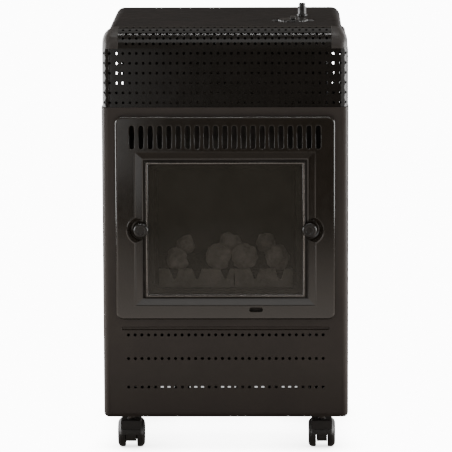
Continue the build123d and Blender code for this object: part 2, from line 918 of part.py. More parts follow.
electrode_x = pilot_x + pilot_pitch
flange_back_y = inner_front_y + wall
with BuildPart() as pilot_bracket:
    with Locations(((pilot_x + electrode_x) / 2, flange_back_y, pilot_height)):
        Box(pilot_bracket_length, pilot_bracket_depth, wall, align=(Align.CENTER, Align.MIN, Align.MIN))
        Box(
            pilot_bracket_length,
            wall,
            firebox_floor - wall - fit_gap - pilot_height,
            align=(Align.CENTER, Align.MIN, Align.MIN),
        )
    with BuildSketch(Plane.XY.offset(pilot_height)):
        with Locations((pilot_x, pilot_y), (electrode_x, pilot_y)):
            RegularPolygon(pilot_stub_radius + running_clearance, 6)
    extrude(amount=wall, mode=Mode.SUBTRACT)
pilot_bracket.part.label = "pilot_bracket"
export_step(pilot_bracket.part, "parts/pilot_bracket.step")

for device_name, device_x, device_radius, device_height in (
    ("pilot_burner", pilot_x, pilot_radius, pilot_length),
    ("spark_electrode", electrode_x, electrode_radius, electrode_length),
):
    with BuildPart() as device:
        with BuildSketch(Plane.XY.offset(pilot_height + wall)):
            with Locations((device_x, pilot_y)):
                RegularPolygon(device_radius, 8)
        extrude(amount=device_height)
        with BuildSketch(Plane.XY.offset(pilot_height - pilot_stub_length)):
            with Locations((device_x, pilot_y)):
                RegularPolygon(pilot_stub_radius, 6)
        extrude(amount=pilot_stub_length + wall)
    device.part.label = device_name
    export_step(device.part, f"parts/{device_name}.step")

# ---------------------------------------------------------------- gas pipes and ignition lead

main_port = (valve_right_x + port_length, valve_y + port_spread, valve_top - port_spread)
pilot_port = (valve_right_x + port_length, valve_y - port_spread, valve_top - 2 * port_spread)
burner_pipe_end = (burner_end_x + injector_hex_length, burner_y, burner_height)
stub_bottom = pilot_height - pilot_stub_length
pilot_pipe_bottom = stub_bottom - pilot_pipe_drop
lead_level = partition_top + lead_clearance
lead_bottom = stub_bottom - lead_drop
line_routes = {
    "burner_pipe": (
        burner_pipe_radius,
        burner_pipe_bend,
        [
            main_port,
            (burner_pipe_x, main_port[1], main_port[2]),
            (burner_pipe_x, burner_y, main_port[2]),
            (burner_pipe_x, burner_y, burner_height),
            burner_pipe_end,
        ],
    ),
    "pilot_pipe": (
        pilot_pipe_radius,
        pilot_pipe_bend,
        [
            pilot_port,
            (pilot_pipe_x, pilot_port[1], pilot_port[2]),
            (pilot_pipe_x, pilot_y, pilot_port[2]),
            (pilot_pipe_x, pilot_y, pilot_pipe_bottom),
            (pilot_x, pilot_y, pilot_pipe_bottom),
            (pilot_x, pilot_y, stub_bottom),
        ],
    ),
    "ignition_lead": (
        lead_radius,
        lead_bend,
        [
            (piezo_x, piezo_y, piezo_bottom),
            (piezo_x, piezo_y, lead_level),
            (lead_x, piezo_y, lead_level),
            (lead_x, pilot_y, lead_level),
            (lead_x, pilot_y, lead_bottom),
            (electrode_x, pilot_y, lead_bottom),
            (electrode_x, pilot_y, stub_bottom),
        ],
    ),
}
for line_name, (line_radius, line_bend, corners) in line_routes.items():
    with BuildPart() as line:
        with BuildLine():
            route = Polyline(*mitred(corners, line_bend))
        with BuildSketch(Plane(origin=route @ 0, z_dir=route % 0)):
            RegularPolygon(line_radius, 6)
        sweep(path=route, transition=Transition.RIGHT)
    line.part.label = line_name
    export_step(line.part, f"parts/{line_name}.step")

# ---------------------------------------------------------------- partition, deflector and rear rail

with BuildPart() as partition:
    with Locations((0, partition_y, partition_bottom)):
        Box(
            partition_width,
            wall,
            partition_top - partition_bottom,
            align=(Align.CENTER, Align.MIN, Align.MIN),
        )
    # Tabs that reach the side panels.
    for tab_z in tab_heights:
        with Locations((0, partition_y, tab_z)):
            Box(2 * inner_half_width, wall, tab_height, align=(Align.CENTER, Align.MIN, Align.CENTER))
        for sign in (-1, 1):
            with Locations((sign * inner_half_width, partition_y, tab_z)):
                Box(
                    wall,
                    tab_foot,
                    tab_height,
                    align=(Align.MAX if sign > 0 else Align.MIN, Align.MIN, Align.CENTER),
                )
partition.part.label = "partition"
export_step(partition.part, "parts/partition.step")

deflector_lip_y = front_y + deflector_front_setback
with BuildPart() as heat_deflector:
    with BuildSketch(Plane.YZ.offset(-deflector_width / 2)):
        with BuildLine():
            Polyline(
                (partition_y, partition_top - deflector_lap),
                (partition_y, partition_top),
                (deflector_lip_y, deflector_top),
                (deflector_lip_y - deflector_lip, deflector_top),
            )
            offset(amount=wall, side=Side.LEFT, kind=Kind.INTERSECTION)
        make_face()
    extrude(amount=deflector_width)
heat_deflector.part.label = "heat_deflector"
export_step(heat_deflector.part, "parts/heat_deflector.step")

with BuildPart() as rear_rail:
    with Locations((0, rear_inner_y, rail_bottom)):
        Box(
            2 * inner_half_width,
            wall,
            rail_end_top - rail_bottom,
            align=(Align.CENTER, Align.MAX, Align.MIN),
        )
        Box(2 * rail_half_width, wall, rail_top - rail_bottom, align=(Align.CENTER, Align.MAX, Align.MIN))
    for sign in (-1, 1):
        with Locations((sign * inner_half_width, rear_inner_y, rail_bottom)):
            Box(
                wall,
                tab_foot,
                rail_end_top - rail_bottom,
                align=(Align.MAX if sign > 0 else Align.MIN, Align.MAX, Align.MIN),
            )
    with BuildSketch(front_plane(rear_inner_y)):
        with Locations(*[(x, rear_screw_height) for x in rear_screw_x]):
            RegularPolygon(screw_radius, 6)
    extrude(amount=wall, mode=Mode.SUBTRACT)
    # Notch behind the gas valve, through which the hose is pushed onto its nipple.
    with BuildSketch(front_plane(rear_inner_y)):
        with Locations((valve_x, rail_bottom)):
            Rectangle(2 * notch_half_span, 2 * (nipple_height + notch_half_span - rail_bottom))
        chamfer(vertices(), notch_corner)
    extrude(amount=wall, mode=Mode.SUBTRACT)
rear_rail.part.label = "rear_rail"
export_step(rear_rail.part, "parts/rear_rail.step")

with BuildPart() as rear_screws:
    with BuildSketch(front_plane(rear_y)):
        with Locations(*[(x, rear_screw_height) for x in rear_screw_x]):
            RegularPolygon(screw_head_radius, 6)
    extrude(amount=-screw_head)
    with BuildSketch(front_plane(rear_y)):
        with Locations(*[(x, rear_screw_height) for x in rear_screw_x]):
            RegularPolygon(screw_radius, 6)
    extrude(amount=screw_length)
rear_screws.part.label = "rear_screws"
export_step(rear_screws.part, "parts/rear_screws.step")

# ---------------------------------------------------------------- gas valve, its bracket and the hose nipple

with BuildPart() as gas_valve:
    with Locations((valve_x, valve_y, valve_top)):
        Box(valve_length, valve_depth, valve_height, align=(Align.CENTER, Align.CENTER, Align.MAX))
    with BuildSketch(Plane.XY.offset(valve_top)):
        with Locations((valve_x, valve_y)):
            RegularPolygon(neck_radius, 12)
    extrude(amount=neck_height)
    with BuildSketch(Plane.XY.offset(valve_top + neck_height)):
        with Locations((valve_x, valve_y)):
            RegularPolygon(spindle_radius + running_clearance, 12, major_radius=False)
    extrude(amount=-spindle_seat, mode=Mode.SUBTRACT)
    # Outlet ports for the burner and the pilot.
    with BuildSketch(Plane.YZ.offset(valve_right_x)):
        with Locations(main_port[1:], pilot_port[1:]):
            RegularPolygon(port_radius, 6)
    extrude(amount=port_length)
gas_valve.part.label = "gas_valve"
export_step(gas_valve.part, "parts/gas_valve.step")

with BuildPart() as valve_bracket:
    with BuildSketch(front_plane(valve_y - bracket_depth / 2)):
        with BuildLine():
            Polyline(
                (valve_x - bracket_half_span - bracket_foot, lid_underside),
                (valve_x - bracket_half_span, lid_underside),
                (valve_x - bracket_half_span, valve_top + bracket_wall),
                (valve_x + bracket_half_span, valve_top + bracket_wall),
                (valve_x + bracket_half_span, lid_underside),
                (valve_x + bracket_half_span + bracket_foot, lid_underside),
            )
            offset(amount=bracket_wall, side=Side.RIGHT, kind=Kind.INTERSECTION)
        make_face()
    extrude(amount=-bracket_depth)
    with BuildSketch(Plane.XY.offset(valve_top)):
        with Locations((valve_x, valve_y)):
            RegularPolygon(neck_radius + running_clearance, 12)
    extrude(amount=2 * bracket_wall, mode=Mode.SUBTRACT)
valve_bracket.part.label = "valve_bracket"
export_step(valve_bracket.part, "parts/valve_bracket.step")

# The nipple screws into the back of the valve: a nut, a plain stretch for the hose and a slimmer tip.
with BuildPart() as hose_nipple:
    with BuildSketch(front_plane(valve_y + valve_depth / 2)):
        with Locations((valve_x, nipple_height)):
            RegularPolygon(nipple_nut_radius, 6)
    extrude(amount=-nipple_nut_length)
    with Locations(
        Location(
            (valve_x, valve_y + valve_depth / 2 + nipple_nut_length, nipple_height),
            (-90, 0, 0),
        )
    ):
        Cylinder(nipple_radius, nipple_plain, align=upright)
    with BuildSketch(front_plane(valve_y + valve_depth / 2 + nipple_nut_length + nipple_plain)):
        with Locations((valve_x, nipple_height)):
            RegularPolygon(nipple_radius - nipple_tip_step, 12)
    extrude(amount=-nipple_tip_length)
    chamfer(faces().sort_by(Axis.Y)[-1].edges(), nipple_chamfer)
hose_nipple.part.label = "hose_nipple"
export_step(hose_nipple.part, "parts/hose_nipple.step")

# ---------------------------------------------------------------- control spindle and knob

with BuildPart() as valve_spindle:
    with BuildSketch(Plane.XY.offset(valve_top + neck_height - spindle_seat + fit_gap)):
        with Locations((valve_x, valve_y)):
            RegularPolygon(spindle_radius, 12)
    extrude(amount=spindle_top - (valve_top + neck_height - spindle_seat + fit_gap))
valve_spindle.part.label = "valve_spindle"
export_step(valve_spindle.part, "parts/valve_spindle.step")

knob_bottom = lid_top - dish_depth + knob_travel + fit_gap
knob_disc_top = knob_bottom + knob_disc
with BuildPart() as control_knob:
    with BuildSketch(Plane.XY.offset(knob_bottom)):
        with Locations((valve_x, valve_y)):
            RegularPolygon(knob_radius, knob_flutes)
    extrude(amount=knob_disc)
    chamfer(faces().sort_by(Axis.Z)[-1].edges(), knob_edge)
    with BuildSketch(Plane.XY.offset(knob_disc_top)):
        with Locations((valve_x, valve_y)):
            Rectangle(knob_grip_width, 2 * (knob_radius - 2 * knob_edge))
    extrude(amount=knob_grip)
    chamfer(faces().sort_by(Axis.Z)[-1].edges().filter_by(Axis.Y), knob_edge / 2)
    with BuildSketch(Plane.XY.offset(knob_bottom)):
        with Locations((valve_x, valve_y)):
            RegularPolygon(spindle_radius + running_clearance, 12, major_radius=False)
    extrude(amount=spindle_top + knob_travel + fit_gap - knob_bottom, mode=Mode.SUBTRACT)
control_knob.part.label = "control_knob"
export_step(control_knob.part, "parts/control_knob.step")

# ---------------------------------------------------------------- piezo igniter

collar_top = lid_top + piezo_collar_height
button_bottom = collar_top + button_proud - button_length
with BuildPart() as piezo_body:
    with BuildSketch(Plane.XY.offset(piezo_bottom)):
        with Locations((piezo_x, piezo_y)):
            RegularPolygon(piezo_body_radius, piezo_sides)
    extrude(amount=lid_top - piezo_bottom)
    with BuildSketch(Plane.XY.offset(lid_top)):
        with Locations((piezo_x, piezo_y)):
            RegularPolygon(piezo_collar_radius, piezo_sides)
    extrude(amount=piezo_collar_height)
    chamfer(faces().sort_by(Axis.Z)[-1].edges(), piezo_edge)
    with BuildSketch(Plane.XY.offset(collar_top)):
        with Locations((piezo_x, piezo_y)):
            RegularPolygon(button_radius + running_clearance, piezo_sides)
    extrude(amount=button_bottom - button_travel - fit_gap - collar_top, mode=Mode.SUBTRACT)
piezo_body.part.label = "piezo_body"
export_step(piezo_body.part, "parts/piezo_body.step")

with BuildPart() as piezo_button:
    with BuildSketch(Plane.XY.offset(button_bottom)):
        with Locations((piezo_x, piezo_y)):
            RegularPolygon(button_radius, piezo_sides)
    extrude(amount=button_length)
    chamfer(faces().sort_by(Axis.Z)[-1].edges(), piezo_edge)
piezo_button.part.label = "piezo_button"
export_step(piezo_button.part, "parts/piezo_button.step")

with BuildPart() as piezo_nut:
    with BuildSketch(Plane.XY.offset(lid_underside)):
        with Locations((piezo_x, piezo_y)):
            RegularPolygon(nut_radius, 6)
            RegularPolygon(piezo_body_radius, piezo_sides, mode=Mode.SUBTRACT)
    extrude(amount=-nut_height)
piezo_nut.part.label = "piezo_nut"
export_step(piezo_nut.part, "parts/piezo_nut.step")

# ---------------------------------------------------------------- rear cover

bulge_middle = bulge_bottom + bulge_height / 2
with BuildPart() as rear_cover:
    with Locations((0, cover_y, cover_bottom)):
        Box(
            cabinet_width - 2 * cover_margin,
            wall,
            cover_top - cover_bottom,
            align=(Align.CENTER, Align.MIN, Align.MIN),
        )
    # Bulge that makes room for the gas cylinder, with sloping sides.
    for sheet, mode in ((0, Mode.ADD), (wall, Mode.SUBTRACT)):
        bulge_stations = ((cover_y, sheet), (rear_y + cover_bulge - sheet, sheet + bulge_slope))
        for station_y, inset in bulge_stations:
            with BuildSketch(front_plane(station_y)):
                with Locations((0, bulge_middle)):
                    Rectangle(bulge_width - 2 * inset, bulge_height - 2 * inset)
        loft(ruled=True, mode=mode)
    # Air slots high and low in the bulge.
    with BuildSketch(front_plane(rear_y + cover_bulge)):
        for level in (bulge_middle - cover_vent_spread, bulge_middle + cover_vent_spread):
            with Locations((0, level)):
                with GridLocations(cover_vent_pitch, 1, cover_vent_count, 1):
                    Rectangle(cover_vent_width, cover_vent_height)
    extrude(amount=2 * wall, mode=Mode.SUBTRACT)
    # Lugs that turn on the pins of the base tray.
    for sign in (-1, 1):
        with BuildSketch(Plane.YZ.offset(sign * pivot_x - lug_width / 2)):
            with Locations((pivot_y, pivot_height)):
                RegularPolygon(lug_radius, 8)
                Polygon(
                    (0, 0),
                    (cover_y - pivot_y, cover_bottom - pivot_height),
                    (cover_y - pivot_y, lug_rise),
                    (0, lug_radius),
                    align=None,
                )
                RegularPolygon(pivot_radius + running_clearance, 8, major_radius=False, mode=Mode.SUBTRACT)
        extrude(amount=lug_width)
rear_cover.part.label = "rear_cover"
export_step(rear_cover.part, "parts/rear_cover.step")

# ---------------------------------------------------------------- casters

with BuildPart() as caster_stems:
    with BuildSketch(Plane.XY.offset(stem_bottom)):
        with Locations(*caster_places.values()):
            RegularPolygon(stem_radius, 8)
    extrude(amount=tray_floor + socket_height - wall - stem_bottom)
caster_stems.part.label = "caster_stems"
export_step(caster_stems.part, "parts/caster_stems.step")

web_half = web_width / 2
hood_half = hood_width / 2
crown_half = hood_flat / 2
shoulder = hood_half - crown_half
flat_down = 180 / wheel_sides
wheel_shoulder = shoulder + hood_wall / 2
open_below = (Align.CENTER, Align.CENTER, Align.MAX)

# Room that the hood leaves for a wheel on each side of its web, open below.
with BuildPart() as wheel_rooms:
    with BuildSketch(Plane.YZ.offset(web_half)):
        RegularPolygon(hood_radius - hood_wall, wheel_sides, major_radius=False, rotation=flat_down)
    extrude(amount=shoulder + crown_half - web_half)
    chamfer(faces().sort_by(Axis.X)[-1].edges(), shoulder)
    with Locations((web_half, 0, hood_bottom - wheel_radius)):
        Box(hood_width, 3 * hood_radius, hood_radius, align=(Align.MIN, Align.CENTER, Align.MAX))
    mirror(about=Plane.YZ)

for place_name, (stem_x, stem_y) in caster_places.items():
    axle_y = stem_y + caster_trail
    with BuildPart() as caster_housing:
        # Hood: a drum about the axle with sloping shoulders.
        with BuildSketch(Plane.YZ.offset(stem_x)):
            with Locations((axle_y, wheel_radius)):
                RegularPolygon(hood_radius, wheel_sides, major_radius=False, rotation=flat_down)
        extrude(amount=hood_half, both=True)
        chamfer(faces().sort_by(Axis.X)[-1].edges(), shoulder)
        chamfer(faces().sort_by(Axis.X)[0].edges(), shoulder)
        with Locations((stem_x, axle_y, wheel_radius)):
            add(wheel_rooms.part, mode=Mode.SUBTRACT)
        with Locations((stem_x, axle_y, web_bottom)):
            Box(hood_width, 3 * hood_radius, hood_radius, align=open_below, mode=Mode.SUBTRACT)
        # Boss for the stem, and the axle's hole.
        with Locations((stem_x, stem_y, hood_bottom)):
            Box(web_width, web_width, wheel_radius + hood_radius - hood_bottom, align=upright)
        with BuildSketch(Plane.XY.offset(wheel_radius + hood_radius)):
            with Locations((stem_x, stem_y)):
                RegularPolygon(stem_radius + running_clearance, 8, major_radius=False)
        extrude(amount=stem_bottom - fit_gap - wheel_radius - hood_radius, mode=Mode.SUBTRACT)
        with BuildSketch(Plane.YZ.offset(stem_x)):
            with Locations((axle_y, wheel_radius)):
                RegularPolygon(axle_radius, 8)
        extrude(amount=web_half, both=True, mode=Mode.SUBTRACT)
    caster_housing.part.label = f"caster_housing_{place_name}"
    export_step(caster_housing.part, f"parts/caster_housing_{place_name}.step")

    with BuildPart() as caster_axle:
        with BuildSketch(Plane.YZ.offset(stem_x)):
            with Locations((axle_y, wheel_radius)):
                RegularPolygon(axle_radius, 8)
        extrude(amount=hood_half - wheel_cap, both=True)
    caster_axle.part.label = f"caster_axle_{place_name}"
    export_step(caster_axle.part, f"parts/caster_axle_{place_name}.step")

    for side, sign in side_signs.items():
        inner_x = stem_x + sign * (web_half + 2 * fit_gap)
        with BuildPart() as caster_wheel:
            with BuildSketch(Plane.YZ.offset(inner_x)):
                with Locations((axle_y, wheel_radius)):
                    RegularPolygon(wheel_radius, wheel_sides, major_radius=False, rotation=flat_down)
            extrude(amount=stem_x + sign * hood_half - inner_x)
            chamfer(faces().sort_by(Axis.X)[-1 if sign > 0 else 0].edges(), wheel_shoulder)
            with BuildSketch(Plane.YZ.offset(inner_x)):
                with Locations((axle_y, wheel_radius)):
                    RegularPolygon(axle_radius + running_clearance, 8, major_radius=False)
            extrude(
                amount=stem_x + sign * (hood_half - wheel_cap + fit_gap) - inner_x,
                mode=Mode.SUBTRACT,
            )
        caster_wheel.part.label = f"caster_wheel_{place_name}_{side}"
        export_step(caster_wheel.part, f"parts/caster_wheel_{place_name}_{side}.step")
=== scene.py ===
import json
import math

import bmesh
import bpy
from mathutils import Euler, Matrix, Vector, noise


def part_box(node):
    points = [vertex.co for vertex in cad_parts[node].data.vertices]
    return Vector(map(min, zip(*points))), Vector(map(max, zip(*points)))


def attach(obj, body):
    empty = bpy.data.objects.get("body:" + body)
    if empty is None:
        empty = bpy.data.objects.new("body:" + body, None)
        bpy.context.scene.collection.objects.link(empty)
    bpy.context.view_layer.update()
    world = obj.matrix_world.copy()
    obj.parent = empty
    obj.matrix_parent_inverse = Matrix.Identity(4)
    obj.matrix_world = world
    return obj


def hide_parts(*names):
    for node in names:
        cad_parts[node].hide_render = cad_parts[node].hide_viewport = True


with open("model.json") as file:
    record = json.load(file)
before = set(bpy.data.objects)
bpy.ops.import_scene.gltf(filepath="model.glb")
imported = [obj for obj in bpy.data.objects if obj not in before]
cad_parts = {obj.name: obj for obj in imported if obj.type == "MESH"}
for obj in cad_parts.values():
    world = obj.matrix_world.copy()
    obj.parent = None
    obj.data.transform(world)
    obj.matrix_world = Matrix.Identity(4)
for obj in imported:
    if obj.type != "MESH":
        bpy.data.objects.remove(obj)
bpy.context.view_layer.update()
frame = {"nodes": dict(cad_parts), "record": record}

# Sizes are in millimetres and angles in degrees; a finished piece is scaled to metres in its mesh.
MM = 0.001
X, Y, Z = Vector((1, 0, 0)), Vector((0, 1, 0)), Vector((0, 0, 1))
SIDES = {"left": -1, "right": 1}
CORNERS = ((-1, -1), (1, -1), (1, 1), (-1, 1))


def box_mm(node):
    """Lowest and highest corner of a node of the frame, in millimetres."""
    low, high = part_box(node)
    return low / MM, high / MM


# ---------------------------------------------------------------- places read from the frame

panel_low, panel_high = box_mm("front_panel")
side_low, side_high = box_mm("right_side_panel")
guard_low, guard_high = box_mm("perforated_guard")
cap_low, cap_high = box_mm("corner_cap_right")
lid_low, lid_high = box_mm("top_lid")
stove_low, stove_high = box_mm("stove_front")
cover_low, cover_high = box_mm("rear_cover")
knob_low, knob_high = box_mm("control_knob")
collar_low, collar_high = box_mm("piezo_body")

half_width = panel_high.x
front_y = panel_low.y
side_top = side_high.z
lid_top = lid_high.z
knob_x, knob_y = ((knob_low + knob_high) / 2).xy
igniter_x, igniter_y = ((collar_low + collar_high) / 2).xy

# Sizes that several pieces share.
sheet = 1.2
corner_radius = 11
bottom_bend = 8
crown_radius = 34
crown_end_y = guard_low.y + crown_radius
crown_end_x = cap_low.x
panel_gap = 0.3
# A point this near to a plane or a line counts as on it.
near = 0.1

caster_places = ("front_left", "front_right", "rear_left", "rear_right")
caster_trail = 14
cover_lug = 6
cover_pivot_y, cover_pivot_z = cover_low.y + cover_lug, cover_low.z + cover_lug


def axle_of(place):
    """Middle of a caster's axle."""
    low, high = box_mm(f"caster_axle_{place}")
    return (low + high) / 2


# ---------------------------------------------------------------- materials


def set_sockets(tree, node, **sockets):
    """Sets a node's sockets to a value, or links them to another socket."""
    for name, value in sockets.items():
        socket = node.inputs[name.replace("_", " ")]
        if isinstance(value, bpy.types.NodeSocket):
            tree.links.new(value, socket)
        else:
            socket.default_value = value


def add_node(tree, kind, settings=(), **sockets):
    """A shader node with its settings and its sockets."""
    node = tree.nodes.new(kind)
    for name, value in dict(settings).items():
        setattr(node, name, value)
    set_sockets(tree, node, **sockets)
    return node


def reckon(tree, operation, *values):
    """Result of a sum on signals."""
    node = add_node(tree, "ShaderNodeMath", {"operation": operation})
    for value, socket in zip(values, node.inputs):
        tree.links.new(value, socket)
    return node.outputs["Value"]


def start_material(name):
    """An empty material with its shader, and the object's own coordinates."""
    made = bpy.data.materials.new(name)
    made.use_nodes = True
    tree = made.node_tree
    place = add_node(tree, "ShaderNodeTexCoord").outputs["Object"]
    return made, tree, tree.nodes["Principled BSDF"], place


def speckle(tree, place, size, detail=2.0, roughness=0.5):
    """Noise whose features are about this many millimetres across."""
    scale = 1 / (size * MM)
    made = add_node(
        tree, "ShaderNodeTexNoise", Vector=place, Scale=scale, Detail=detail, Roughness=roughness
    )
    return made.outputs["Fac"]


def spread(tree, value, low, high, start=0.3, end=0.7):
    """The value's stretch from start to end mapped to low..high."""
    made = add_node(
        tree, "ShaderNodeMapRange", Value=value, From_Min=start, From_Max=end, To_Min=low, To_Max=high
    )
    return made.outputs["Result"]


def between(tree, share, first, second):
    """A colour between two colours."""
    made = tree.nodes.new("ShaderNodeMix")
    made.data_type = "RGBA"
    tree.links.new(share, made.inputs["Factor"])
    made.inputs[6].default_value = (*first, 1)
    made.inputs[7].default_value = (*second, 1)
    return made.outputs[2]


def relief(tree, heights):
    """Normal of stacked bumps, each a height signal with its depth in millimetres."""
    normal = None
    for height, depth in heights:
        bump = add_node(tree, "ShaderNodeBump", Height=height, Distance=depth * MM, Strength=1.0)
        if normal is not None:
            tree.links.new(normal, bump.inputs["Normal"])
        normal = bump.outputs["Normal"]
    return normal


def coated(
    name, colour, second, roughness, swing, peel, peel_depth, grain_depth=0.0, coat=0.0, shine=0.5
):
    """Paint, enamel or moulded plastic: orange peel, fine grain, and slow drifts of tint and gloss."""
    made, tree, shader, place = start_material(name)
    drift, smudge = speckle(tree, place, 70, 3), speckle(tree, place, 14, 4)
    heights = [(speckle(tree, place, peel, 2), peel_depth)]
    if grain_depth:
        heights.append((speckle(tree, place, 0.5, 1), grain_depth))
    set_sockets(
        tree,
        shader,
        Base_Color=between(tree, spread(tree, drift, 0, 1), colour, second),
        Roughness=spread(tree, smudge, roughness - swing, roughness + swing),
        Normal=relief(tree, heights),
        Specular_IOR_Level=shine,
        Coat_Weight=coat,
        Coat_Roughness=0.08,
    )
    return made


def bare_metal(name, colour, second, roughness, brushing):
    """Plated or drawn metal with fine lines along one axis and cloudy tarnish."""
    made, tree, shader, place = start_material(name)
    squeeze = add_node(tree, "ShaderNodeMapping", Vector=place, Scale=brushing).outputs["Vector"]
    lines, cloud = speckle(tree, squeeze, 1.2, 3), speckle(tree, place, 24, 4)
    set_sockets(
        tree,
        shader,
        Base_Color=between(tree, spread(tree, cloud, 0, 1), colour, second),
        Roughness=spread(tree, lines, roughness - 0.1, roughness + 0.1),
        Normal=relief(tree, [(lines, 0.02), (cloud, 0.05)]),
        Metallic=1.0,
    )
    return made


def fired_ceramic(name, pale, dark, pit_depth):
    """Matt ceramic fibre: pits, crumbs and sooty patches."""
    made, tree, shader, place = start_material(name)
    soot, crumbs = speckle(tree, place, 22, 5, 0.6), speckle(tree, place, 2.2, 4, 0.7)
    pits = add_node(tree, "ShaderNodeTexVoronoi", Vector=place, Scale=1 / (4.5 * MM)).outputs["Distance"]
    set_sockets(
        tree,
        shader,
        Base_Color=between(tree, spread(tree, soot, 0, 1, 0.35, 0.65), pale, dark),
        Roughness=spread(tree, crumbs, 0.8, 1.0),
        Normal=relief(tree, [(pits, pit_depth), (crumbs, pit_depth / 2)]),
    )
    return made


def smoked_glass(name):
    """Dark heat-resistant glass that lets some light through, with faint wipe marks."""
    made, tree, shader, place = start_material(name)
    marks = speckle(tree, place, 40, 5)
    tint = between(tree, spread(tree, marks, 0, 1), (0.048, 0.045, 0.036), (0.062, 0.057, 0.047))
    set_sockets(
        tree,
        shader,
        Base_Color=tint,
        Roughness=spread(tree, marks, 0.02, 0.07),
        Normal=relief(tree, [(speckle(tree, place, 60, 1), 0.03)]),
        Alpha=0.42,
    )
    return made


def woven_tape(name):
    """Pale glass-fibre tape in a plain weave."""
    made, tree, shader, place = start_material(name)
    threads = [
        add_node(
            tree,
            "ShaderNodeTexWave",
            {"bands_direction": direction},
            Vector=place,
            Scale=1 / (4 * MM),
            Distortion=0.6,
        ).outputs["Fac"]
        for direction in ("X", "Z")
    ]
    weave = reckon(tree, "MULTIPLY", *threads)
    set_sockets(
        tree,
        shader,
        Base_Color=between(tree, weave, (0.10, 0.10, 0.09), (0.33, 0.32, 0.30)),
        Roughness=0.95,
        Normal=relief(tree, [(weave, 0.3)]),
    )
    return made


cabinet_paint = coated(
    "cabinet_paint", (0.026, 0.0195, 0.0155), (0.031, 0.024, 0.019), 0.42, 0.04, 2.4, 0.02, 0.006
)
lid_paint = coated(
    "lid_paint", (0.0095, 0.0073, 0.0059), (0.016, 0.012, 0.010), 0.5, 0.05, 2.4, 0.02, 0.006, shine=0.15
)
guard_paint = coated(
    "guard_paint", (0.013, 0.0115, 0.0098), (0.016, 0.014, 0.012), 0.16, 0.02, 2.0, 0.002, shine=0.45
)
stove_enamel = coated(
    "stove_enamel", (0.019, 0.016, 0.0125), (0.023, 0.019, 0.015), 0.13, 0.03, 5.0, 0.02, coat=0.5
)
cap_plastic = coated(
    "cap_plastic", (0.036, 0.031, 0.027), (0.044, 0.038, 0.034), 0.42, 0.05, 1.0, 0.02
)
knob_plastic = coated(
    "knob_plastic", (0.012, 0.0105, 0.009), (0.016, 0.0145, 0.0125), 0.28, 0.05, 1.2, 0.015
)
pointer_ink = coated("pointer_ink", (0.55, 0.55, 0.54), (0.65, 0.65, 0.64), 0.5, 0.05, 1.0, 0.01)
caster_nylon = coated(
    "caster_nylon", (0.018, 0.016, 0.014), (0.025, 0.022, 0.020), 0.45, 0.06, 1.2, 0.03
)
lead_rubber = coated("lead_rubber", (0.02, 0.02, 0.02), (0.03, 0.03, 0.03), 0.6, 0.05, 1.5, 0.03)
fire_steel = coated(
    "fire_steel", (0.030, 0.026, 0.021), (0.046, 0.038, 0.030), 0.55, 0.12, 3.0, 0.03, 0.02
)
zinc = bare_metal("zinc", (0.50, 0.49, 0.47), (0.32, 0.31, 0.29), 0.38, (1, 12, 1))
dull_zinc = bare_metal("dull_zinc", (0.13, 0.12, 0.11), (0.07, 0.065, 0.06), 0.5, (1, 12, 1))
stem_steel = bare_metal("stem_steel", (0.10, 0.09, 0.085), (0.06, 0.055, 0.05), 0.4, (1, 1, 12))
# Lighter metal for the thin rod on the window's bead: a painted highlight line along the bead's crown.
bead_highlight_metal = bare_metal("bead_highlight_metal", (0.34, 0.32, 0.30), (0.28, 0.26, 0.24), 0.3, (1, 1, 1))
pipe_metal = bare_metal("pipe_metal", (0.72, 0.72, 0.72), (0.56, 0.56, 0.56), 0.32, (12, 12, 1))
cast_metal = bare_metal("cast_metal", (0.55, 0.55, 0.56), (0.42, 0.42, 0.43), 0.5, (1, 1, 1))
turned_brass = bare_metal("turned_brass", (0.72, 0.53, 0.22), (0.58, 0.40, 0.15), 0.3, (1, 14, 1))
ember_ceramic = fired_ceramic("ember_ceramic", (0.045, 0.038, 0.032), (0.022, 0.019, 0.016), 1.2)
coal_ceramic = fired_ceramic("coal_ceramic", (0.50, 0.45, 0.40), (0.28, 0.25, 0.22), 0.9)
fret_ceramic = fired_ceramic("fret_ceramic", (0.42, 0.38, 0.33), (0.26, 0.23, 0.20), 0.7)
glass_smoke = smoked_glass("glass_smoke")
seal_tape = woven_tape("seal_tape")


# ---------------------------------------------------------------- picking parts of a mesh


def points_in(geom):
    """The vertices among mixed parts of a mesh."""
    return [part for part in geom if isinstance(part, bmesh.types.BMVert)]


def edges_in(geom):
    """The edges among mixed parts of a mesh."""
    return [part for part in geom if isinstance(part, bmesh.types.BMEdge)]


def edges_of(verts):
    """The edges at the vertices, each once."""
    return list(dict.fromkeys(edge for vert in verts for edge in vert.link_edges))


def run(edge, axis):
    """How far an edge runs along an axis."""
    return abs((edge.verts[0].co - edge.verts[1].co).dot(axis))


def edges_where(bm, wanted, faces=None):
    """Edges both of whose ends are wanted, and that this many faces share."""
    return [
        edge
        for edge in bm.edges
        if all(wanted(vert.co) for vert in edge.verts) and faces in (None, len(edge.link_faces))
    ]


def without(edges, unwanted):
    """The edges except those both of whose ends are unwanted."""
    return [edge for edge in edges if not all(unwanted(vert.co) for vert in edge.verts)]


def rims_where(bm, wanted):
    """Open edges of a sheet, both of whose ends are wanted."""
    return edges_where(bm, wanted, faces=1)


def folds_where(bm, wanted):
    """Edges between two faces, both of whose ends are wanted."""
    return edges_where(bm, wanted, faces=2)


def faces_where(bm, wanted):
    """Faces whose middle is wanted."""
    return [face for face in bm.faces if wanted(face.calc_center_median())]


def faces_toward(bm, direction):
    """Faces that look in the direction."""
    bm.normal_update()
    return [face for face in bm.faces if face.normal.dot(Vector(direction)) > 0.99]


def largest_toward(bm, direction):
    """The largest face that looks in the direction."""
    return max(faces_toward(bm, direction), key=lambda face: face.calc_area())


# ---------------------------------------------------------------- shaping a mesh


